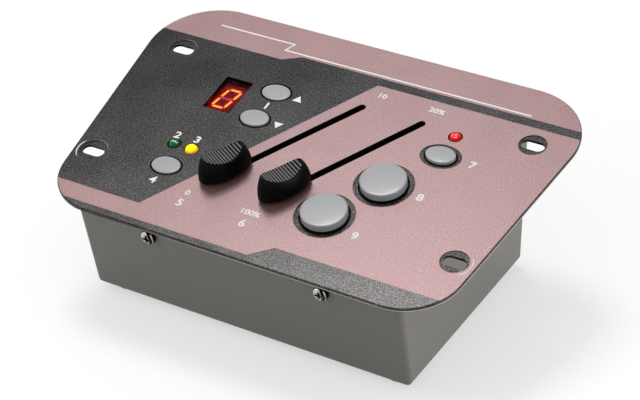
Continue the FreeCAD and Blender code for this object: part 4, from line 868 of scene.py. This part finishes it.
def cap_mesh(place):
    """The cap without its ridges: sides, rounded rim, and a floor a little below the rim."""
    shares = (0.0, 0.015, 0.03, 0.06, 0.2, 0.35, 0.5, 0.62, 0.73, 0.82, 0.89, 0.94, 0.97)
    rings = [cap_side(share) for share in shares]
    for inset, drop in ((0.06, 0.02), (RIM * 0.5, 0.0), (RIM * 0.9, 0.03), (RIM, RIM_DEPTH)):
        outline = cap_outline(CAP_UPPER[0] - inset, CAP_UPPER[1] - inset)
        rings.append([(x, y, dished(x) - drop) for x, y in outline])
    for share in (0.8, 0.55, 0.3, 0.1):
        outline = cap_outline(*((half - RIM) * share for half in CAP_UPPER))
        rings.append([(x, y, dished(x) - RIM_DEPTH) for x, y in outline])
    points = [point for ring in rings for point in ring]
    faces = [list(range(ROUND_STEPS))[::-1]]
    for start in range(0, len(points) - ROUND_STEPS, ROUND_STEPS):
        for step in range(ROUND_STEPS):
            here, after = start + step, start + (step + 1) % ROUND_STEPS
            faces.append((here, after, after + ROUND_STEPS, here + ROUND_STEPS))
    faces.append(list(range(len(points) - ROUND_STEPS, len(points))))
    return to_mesh("cap_body", points, faces, place)


# %% [markdown]
# ## Grip ridges, by rule
# Thirteen round bars lie across the dish, each as long as the cap is wide there. By hand that would be
# thirteen lengths and heights to keep right. Geometry Nodes follow the rule instead: points on a line,
# lifted onto the dish, and on each a bar, scaled by the superellipse's width there.

# %% Geometry Nodes helpers
def vector(tree, **axes):
    return add(tree, "ShaderNodeCombineXYZ", axes)


def make_real(result, instances, material):
    """Ends a geometry tree: the instances become one mesh in the material."""
    solid = add(result.id_data, "GeometryNodeRealizeInstances", {0: instances})
    return close_tree(result, geometry=add(result.id_data, "GeometryNodeSetMaterial",
                                           {"Geometry": solid, "Material": material}))


def grown(tree, points=((0.0, 0.0, 0.0),), **values):
    """The plain mesh that the tree makes from these points, with its inputs set by their plain names."""
    seed = to_mesh("seed", points, [])
    holder = to_scene("holder", seed)
    modifier = holder.modifiers.new("grow", "NODES")
    modifier.node_group = tree
    for item in tree.interface.items_tree:
        if item.in_out == "INPUT" and plain(item.name) in values:
            modifier[item.identifier] = values[plain(item.name)]
    mesh = final_mesh(holder)
    bpy.data.meshes.remove(seed)
    return mesh


# %% Tree: ridges across a dish
tree, given, result = new_tree(
    "ridges_across_dish",
    {"Ridge Count": 13, "Half Length": 6.5, "Half Width": 3.5, "Reach": 7.8, "End Fullness": 1.9,
     "Side Fullness": 2.0, "Ridge Radius": 0.31, "Floor Height": 7.4, "Dish Depth": 2.7,
     "Dish Half Length": 7.9, "Lean": 0.4, "Finish": "Material"},
    ["Geometry"], "GeometryNodeTree")
step = given.half_length * 2.0 / (given.ridge_count - 1.0)
line = add(tree, "GeometryNodeMeshLine",
           {"Count": given.ridge_count, "Start Location": vector(tree, X=given.half_length * -1.0),
            "Offset": vector(tree, X=step)})
along = split(add(tree, "GeometryNodeInputPosition"))[0]
along_dish = along / given.dish_half_length
rise = given.floor_height - given.lean * along_dish + given.dish_depth * (along_dish * along_dish)
lifted = add(tree, "GeometryNodeSetPosition", {"Geometry": line, "Offset": vector(tree, Z=rise)})
fullness = 1.0 - abs(along / given.reach) ** given.end_fullness
half_width = given.half_width * fullness ** (1.0 / given.side_fullness)
bar = add(tree, "GeometryNodeMeshCylinder", {"Vertices": 14, "Radius": 1.0, "Depth": 2.0})
lying = add(tree, "GeometryNodeTransform", {"Geometry": bar, "Rotation": (math.pi / 2, 0.0, 0.0)})
sizes = vector(tree, X=given.ridge_radius, Y=half_width, Z=given.ridge_radius)
bars = add(tree, "GeometryNodeInstanceOnPoints", {"Points": lifted, "Instance": lying, "Scale": sizes})
ridges_across_dish = make_real(result, bars, given.finish)

# %% Caps at rest on their faders
FADER_TURN, FADER_REST, FADER_Y = 60.0, 24.3, -0.9
RIDGE_INSET = 0.12
# The ridges take the lighter crest finish: painted highlight on the crests.
for name, slot_x in (("speed", -8.25), ("dimmer", 15.25)):
    cap_place = on_panel(slot_x, FADER_Y, FADER_TURN) @ Matrix.Translation((-FADER_REST, 0.0, 0.0))
    ridges = grown(ridges_across_dish, half_width=CAP_UPPER[1] - RIDGE_INSET,
                   reach=CAP_UPPER[0] - RIDGE_INSET, floor_height=CAP_TOP - CAP_DISH - RIM_DEPTH,
                   dish_depth=CAP_DISH, dish_half_length=CAP_UPPER[0], lean=CAP_LEAN,
                   finish=finishes["cap_crest"])
    ridges.transform(cap_place)
    mesh = merged(f"{name}_cap", [cap_mesh(cap_place), ridges])
    finish_piece(f"{name}_finger_cap", mesh, "cap_plastic", f"{name}_slider", [f"{name}_fader_cap"],
                 crease=50, second="cap_crest")

# %% [markdown]
# ## Screws
# The same cross-recessed pan-head screws, in different lengths, hold the case, the board and the output
# socket. The head is turned once and a Boolean cuts its recess, as the real punch would press it: a cross
# that narrows with depth. Geometry Nodes then put a head and a threaded shank on each point of a set, so
# one tree serves all of them.

# %% Screw head
HEAD_RADIUS, HEAD_HEIGHT = 2.8, 2.0
HEAD_PROFILE = [(0.0, 0.0), (2.7, 0.0), (2.8, 0.1), (2.8, 0.95), (2.72, 1.25), (2.5, 1.53), (2.15, 1.74),
                (1.6, 1.9), (0.8, 1.98), (0.0, HEAD_HEIGHT)]
WING_LENGTH, WING_WIDTH, WING_TOP, WING_FOOT, WING_NARROWING = 1.9, 0.55, 2.3, 0.6, 0.55
WING_FACES = [(0, 3, 2, 1), (4, 5, 6, 7), (0, 1, 5, 4), (1, 2, 6, 5), (2, 3, 7, 6), (3, 0, 4, 7)]


def wing(angle):
    """A bar that narrows downwards, as a wing of the recess punch does."""
    points = [(x * WING_LENGTH * share, y * WING_WIDTH * share, level)
              for level, share in ((WING_FOOT, WING_NARROWING), (WING_TOP, 1.0))
              for x, y in ((-1, -1), (1, -1), (1, 1), (-1, 1))]
    return to_scene("wing", to_mesh("wing", points, WING_FACES, Matrix.Rotation(angle, 4, "Z")))


head = to_scene("screw_head", to_mesh("screw_head", *turned(HEAD_PROFILE, 40)))
wings = [wing(0.0), wing(math.pi / 2)]
for cutter in wings:
    cut = head.modifiers.new("recess", "BOOLEAN")
    cut.object = cutter
    cut.solver = "EXACT"
screw_head = to_scene("screw_head", final_mesh(head))
for cutter in wings:
    bpy.data.objects.remove(cutter)
print("screw head has", len(screw_head.data.polygons), "faces")

# %% Tree: screws on points
tree, given, result = new_tree(
    "screws_on_points",
    {"Head": "Object", "Turn": Vector(), "Shank Radius": 1.5, "Shank Length": 7.0,
     "Thread Pitch": 0.5, "Thread Depth": 0.12, "Finish": "Material"},
    ["Geometry"], "GeometryNodeTree")
ROWS_PER_TURN = 6.0
shank = add(tree, "GeometryNodeMeshCylinder",
            {"Vertices": 24, "Side Segments": given.shank_length / given.thread_pitch * ROWS_PER_TURN,
             "Radius": given.shank_radius, "Depth": given.shank_length})
x, y, z = split(add(tree, "GeometryNodeInputPosition"))
around = calc("ARCTAN2", y, x) / (2 * math.pi)
groove = calc("PINGPONG", z / given.thread_pitch + around, 0.5)
shrink = 1.0 - groove * 2.0 * (given.thread_depth / given.shank_radius)
threaded = vector(tree, X=x * shrink, Y=y * shrink, Z=z)
thread = add(tree, "GeometryNodeSetPosition", {"Geometry": shank, "Position": threaded})
below = vector(tree, Z=given.shank_length * -0.5)
hung = add(tree, "GeometryNodeTransform", {"Geometry": thread, "Translation": below})
screw = new_node(tree, "GeometryNodeJoinGeometry")
for half in (add(tree, "GeometryNodeObjectInfo", {"Object": given.head}, "Geometry"), hung):
    feed(screw.inputs[0], half)
placed = add(tree, "GeometryNodeInstanceOnPoints",
             {"Points": given.geometry, "Instance": Wire(screw.outputs[0]), "Rotation": given.turn})
screws_on_points = make_real(result, placed, given.finish)

# %% Set the screws
row_frame = Matrix.Scale(MM, 4)
FORWARD, BACKWARD, DOWNWARD = (math.pi / 2, 0.0, 0.0), (-math.pi / 2, 0.0, 0.0), (math.pi, 0.0, 0.0)
CASE_X, BOARD_X, BOARD_ROWS = (-33.5, 33.5), (-51.0, 51.0), (-39.0, 32.0)
rear_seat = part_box("rear_case_screws")[1].y / MM - HEAD_HEIGHT
rear_height = sum(corner.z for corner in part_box("rear_case_screws")) / 2 / MM
socket_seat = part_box("output_socket_screws")[1].y / MM - HEAD_HEIGHT
low, high = [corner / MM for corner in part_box("output_socket_screws")]
SCREW_SETS = {
    "front_case": (panel_to_row, [(x, -52.8, -7.2) for x in CASE_X], FORWARD, 7.0),
    "rear_case": (row_frame, [(x, rear_seat, rear_height) for x in CASE_X], BACKWARD, 7.0),
    "board": (panel_to_row, [(x, y, -11.3) for x in BOARD_X for y in BOARD_ROWS], DOWNWARD, 5.0),
    "output_socket": (row_frame, [(low.x + HEAD_RADIUS, socket_seat, low.z + HEAD_RADIUS),
                                  (high.x - HEAD_RADIUS, socket_seat, high.z - HEAD_RADIUS)],
                      BACKWARD, 7.0),
}
for name, (place, points, turn, length) in SCREW_SETS.items():
    mesh = grown(screws_on_points, points, head=screw_head, turn=turn, shank_length=length,
                 finish=finishes["screw_steel"])
    mesh.transform(place)
    finish_piece(f"{name}_cross_screws", mesh, "screw_steel", "housing", [f"{name}_screws"], crease=30)
bpy.data.objects.remove(screw_head)

# %% [markdown]
# ## White print
# The sheet's white print is screen ink, a few hundredths of a millimetre thick: a rule under the title
# field, an arrowhead beside each chase button, and plain numbers at the controls and at the ends of the
# fader scales. Real thin shapes suit it best, because their edges stay sharp however close the camera
# comes. The rule and the arrowheads are outlines pushed up; the numbers are text turned to mesh.

# %% Ink helpers
INK_TOP, INK_FOOT = 0.04, -0.02
FIGURE_SWELL, FIGURE_HALF_DEPTH, FIGURE_WIDENING = 0.025, 0.01, 1.12


def flat_shape(outline):
    """A thin closed plate of ink from a counter-clockwise outline on the panel."""
    count = len(outline)
    points = [(x, y, level) for level in (INK_FOOT, INK_TOP) for x, y in outline]
    faces = [list(range(count))[::-1], list(range(count, 2 * count))]
    faces += [(step, (step + 1) % count, count + (step + 1) % count, count + step) for step in range(count)]
    return to_mesh("ink", points, faces, panel_to_row)


def number(text, x, y, height):
    """Plain figures of that height, centred on a point of the panel."""
    curve = bpy.data.curves.new("figures", "FONT")
    curve.body = text
    curve.align_x, curve.align_y = "CENTER", "CENTER"
    curve.offset, curve.extrude = FIGURE_SWELL, FIGURE_HALF_DEPTH
    mesh = final_mesh(to_scene("figures", curve))
    levels = [vertex.co.y for vertex in mesh.vertices]
    share = height / (max(levels) - min(levels))
    middle = sum(levels) / len(levels)
    thickness = (INK_TOP - INK_FOOT) / (2 * FIGURE_HALF_DEPTH)
    flatten = Matrix.Diagonal((share * FIGURE_WIDENING, share, thickness, 1.0))
    lift = Matrix.Translation((0.0, -middle * share, (INK_TOP + INK_FOOT) / 2))
    mesh.transform(on_panel(x, y) @ lift @ flatten)
    return mesh


# %% Rule, arrowheads and numbers
RULE = [(-64.2, 46.85), (-33.0, 46.85), (-34.8, 42.75), (64.0, 42.75), (64.0, 43.4), (-33.9, 43.4),
        (-32.1, 47.5), (-64.2, 47.5)]
ARROW_X, ARROW_HALF, ARROW_HALF_RISE = -16.2, 1.8, 1.5
SCALE_NUMBERS = [("0", -27.5, -35.5), ("10", 11.0, 33.5), ("100%", -2.5, -35.8), ("20%", 32.5, 33.5)]
CONTROL_NUMBERS = [("1", -25.0, 13.6), ("2", -46.5, -11.2), ("3", -38.6, -11.2), ("4", -42.3, -34.6),
                   ("5", -27.5, -41.4), ("6", -2.5, -41.4), ("7", 56.0, 13.4), ("8", 46.8, -7.6),
                   ("9", 35.2, -31.6)]
shapes = [flat_shape(RULE)]
for y, way in ((21.0, 1), (5.8, -1)):
    foot, tip = y - ARROW_HALF_RISE * way, y + ARROW_HALF_RISE * way
    arrow = [(ARROW_X - ARROW_HALF, foot), (ARROW_X + ARROW_HALF, foot), (ARROW_X, tip)]
    shapes.append(flat_shape(arrow[::way]))
for height, figures in ((2.4, SCALE_NUMBERS), (3.3, CONTROL_NUMBERS)):
    shapes += [number(text, x, y, height) for text, x, y in figures]
finish_piece("white_ink", merged("white_ink", shapes), "ink_white", "housing")

# %% [markdown]
# ## Floor, light and camera
# The object stands on a plain pale floor that fades into a white surround. A large soft lamp from the
# upper left gives the form its shadows, a weaker one from the left front lifts the front wall, a small
# one beside the right end keeps the end wall readable, and an even white world fills in. No lamp is seen
# itself. The camera looks down from the right with a long lens.

# %% Floor
FLOOR_HALF, FADE_FROM, FADE_TO, PAPER_GRAIN, PAPER_GLOW = 0.9, 0.14, 0.32, 0.002, 0.55


def white_where_seen(tree):
    """1 for rays that come from the camera, from a gloss or through glass, else 0."""
    path = wires(new_node(tree, "ShaderNodeLightPath"))
    return larger(path.is_camera_ray, larger(path.is_glossy_ray, path.is_transmission_ray))


corners = [(x * FLOOR_HALF, y * FLOOR_HALF, 0.0) for x, y in ((-1, -1), (1, -1), (1, 1), (-1, 1))]
floor = to_scene("floor", to_mesh("floor", corners, [(0, 1, 2, 3)]))
tree, surface = new_material("floor_paper", roughness=0.9, specular_ior_level=0.0, emission_color=WHITE)
place = object_position(tree)
reach = add(tree, "ShaderNodeVectorMath", {0: place}, "Value", operation="LENGTH")
paper = blend(noise(place, PAPER_GRAIN), (188, 188, 188), (192, 192, 192))
give(surface, base_color=paper, alpha=ramp(reach, FADE_TO, FADE_FROM),
     emission_strength=white_where_seen(tree) * PAPER_GLOW)
floor.data.materials.append(finishes["floor_paper"])


# %% Lamps and world
def soft_lamp(name, place, size, power):
    """A square area lamp that faces the object."""
    data = bpy.data.lights.new(name, "AREA")
    data.size, data.energy = size, power
    lamp = to_scene(name, data)
    lamp.location = place
    lamp.visible_camera = False
    lamp.rotation_euler = (Vector((0.0, 0.0, 0.04)) - Vector(place)).to_track_quat("-Z", "Y").to_euler()


soft_lamp("key_lamp", (-0.38, 0.29, 1.25), 0.4, 6.0)
soft_lamp("end_lamp", (0.27, -0.03, 0.045), 0.1, 0.17)
soft_lamp("left_lamp", (-0.62, -0.42, 0.34), 0.4, 1.5)
world = bpy.data.worlds.new("surround")
bpy.context.scene.world = world
world.use_nodes = True
background = world.node_tree.nodes["Background"]
give(background, color=WHITE, strength=ramp(white_where_seen(world.node_tree), 0.0, 1.0, 0.5, 1.0))

# %% Camera
camera_data = bpy.data.cameras.new("camera")
camera_data.lens, camera_data.sensor_width = 107.575, 36.0
camera = to_scene("camera", camera_data)
camera.location = (0.28555, -0.48701, 0.39287)
camera.rotation_euler = [math.radians(angle) for angle in (57.4565, 0.3211, 29.8318)]
bpy.context.scene.camera = camera
bpy.context.scene.view_settings.view_transform = "Standard"
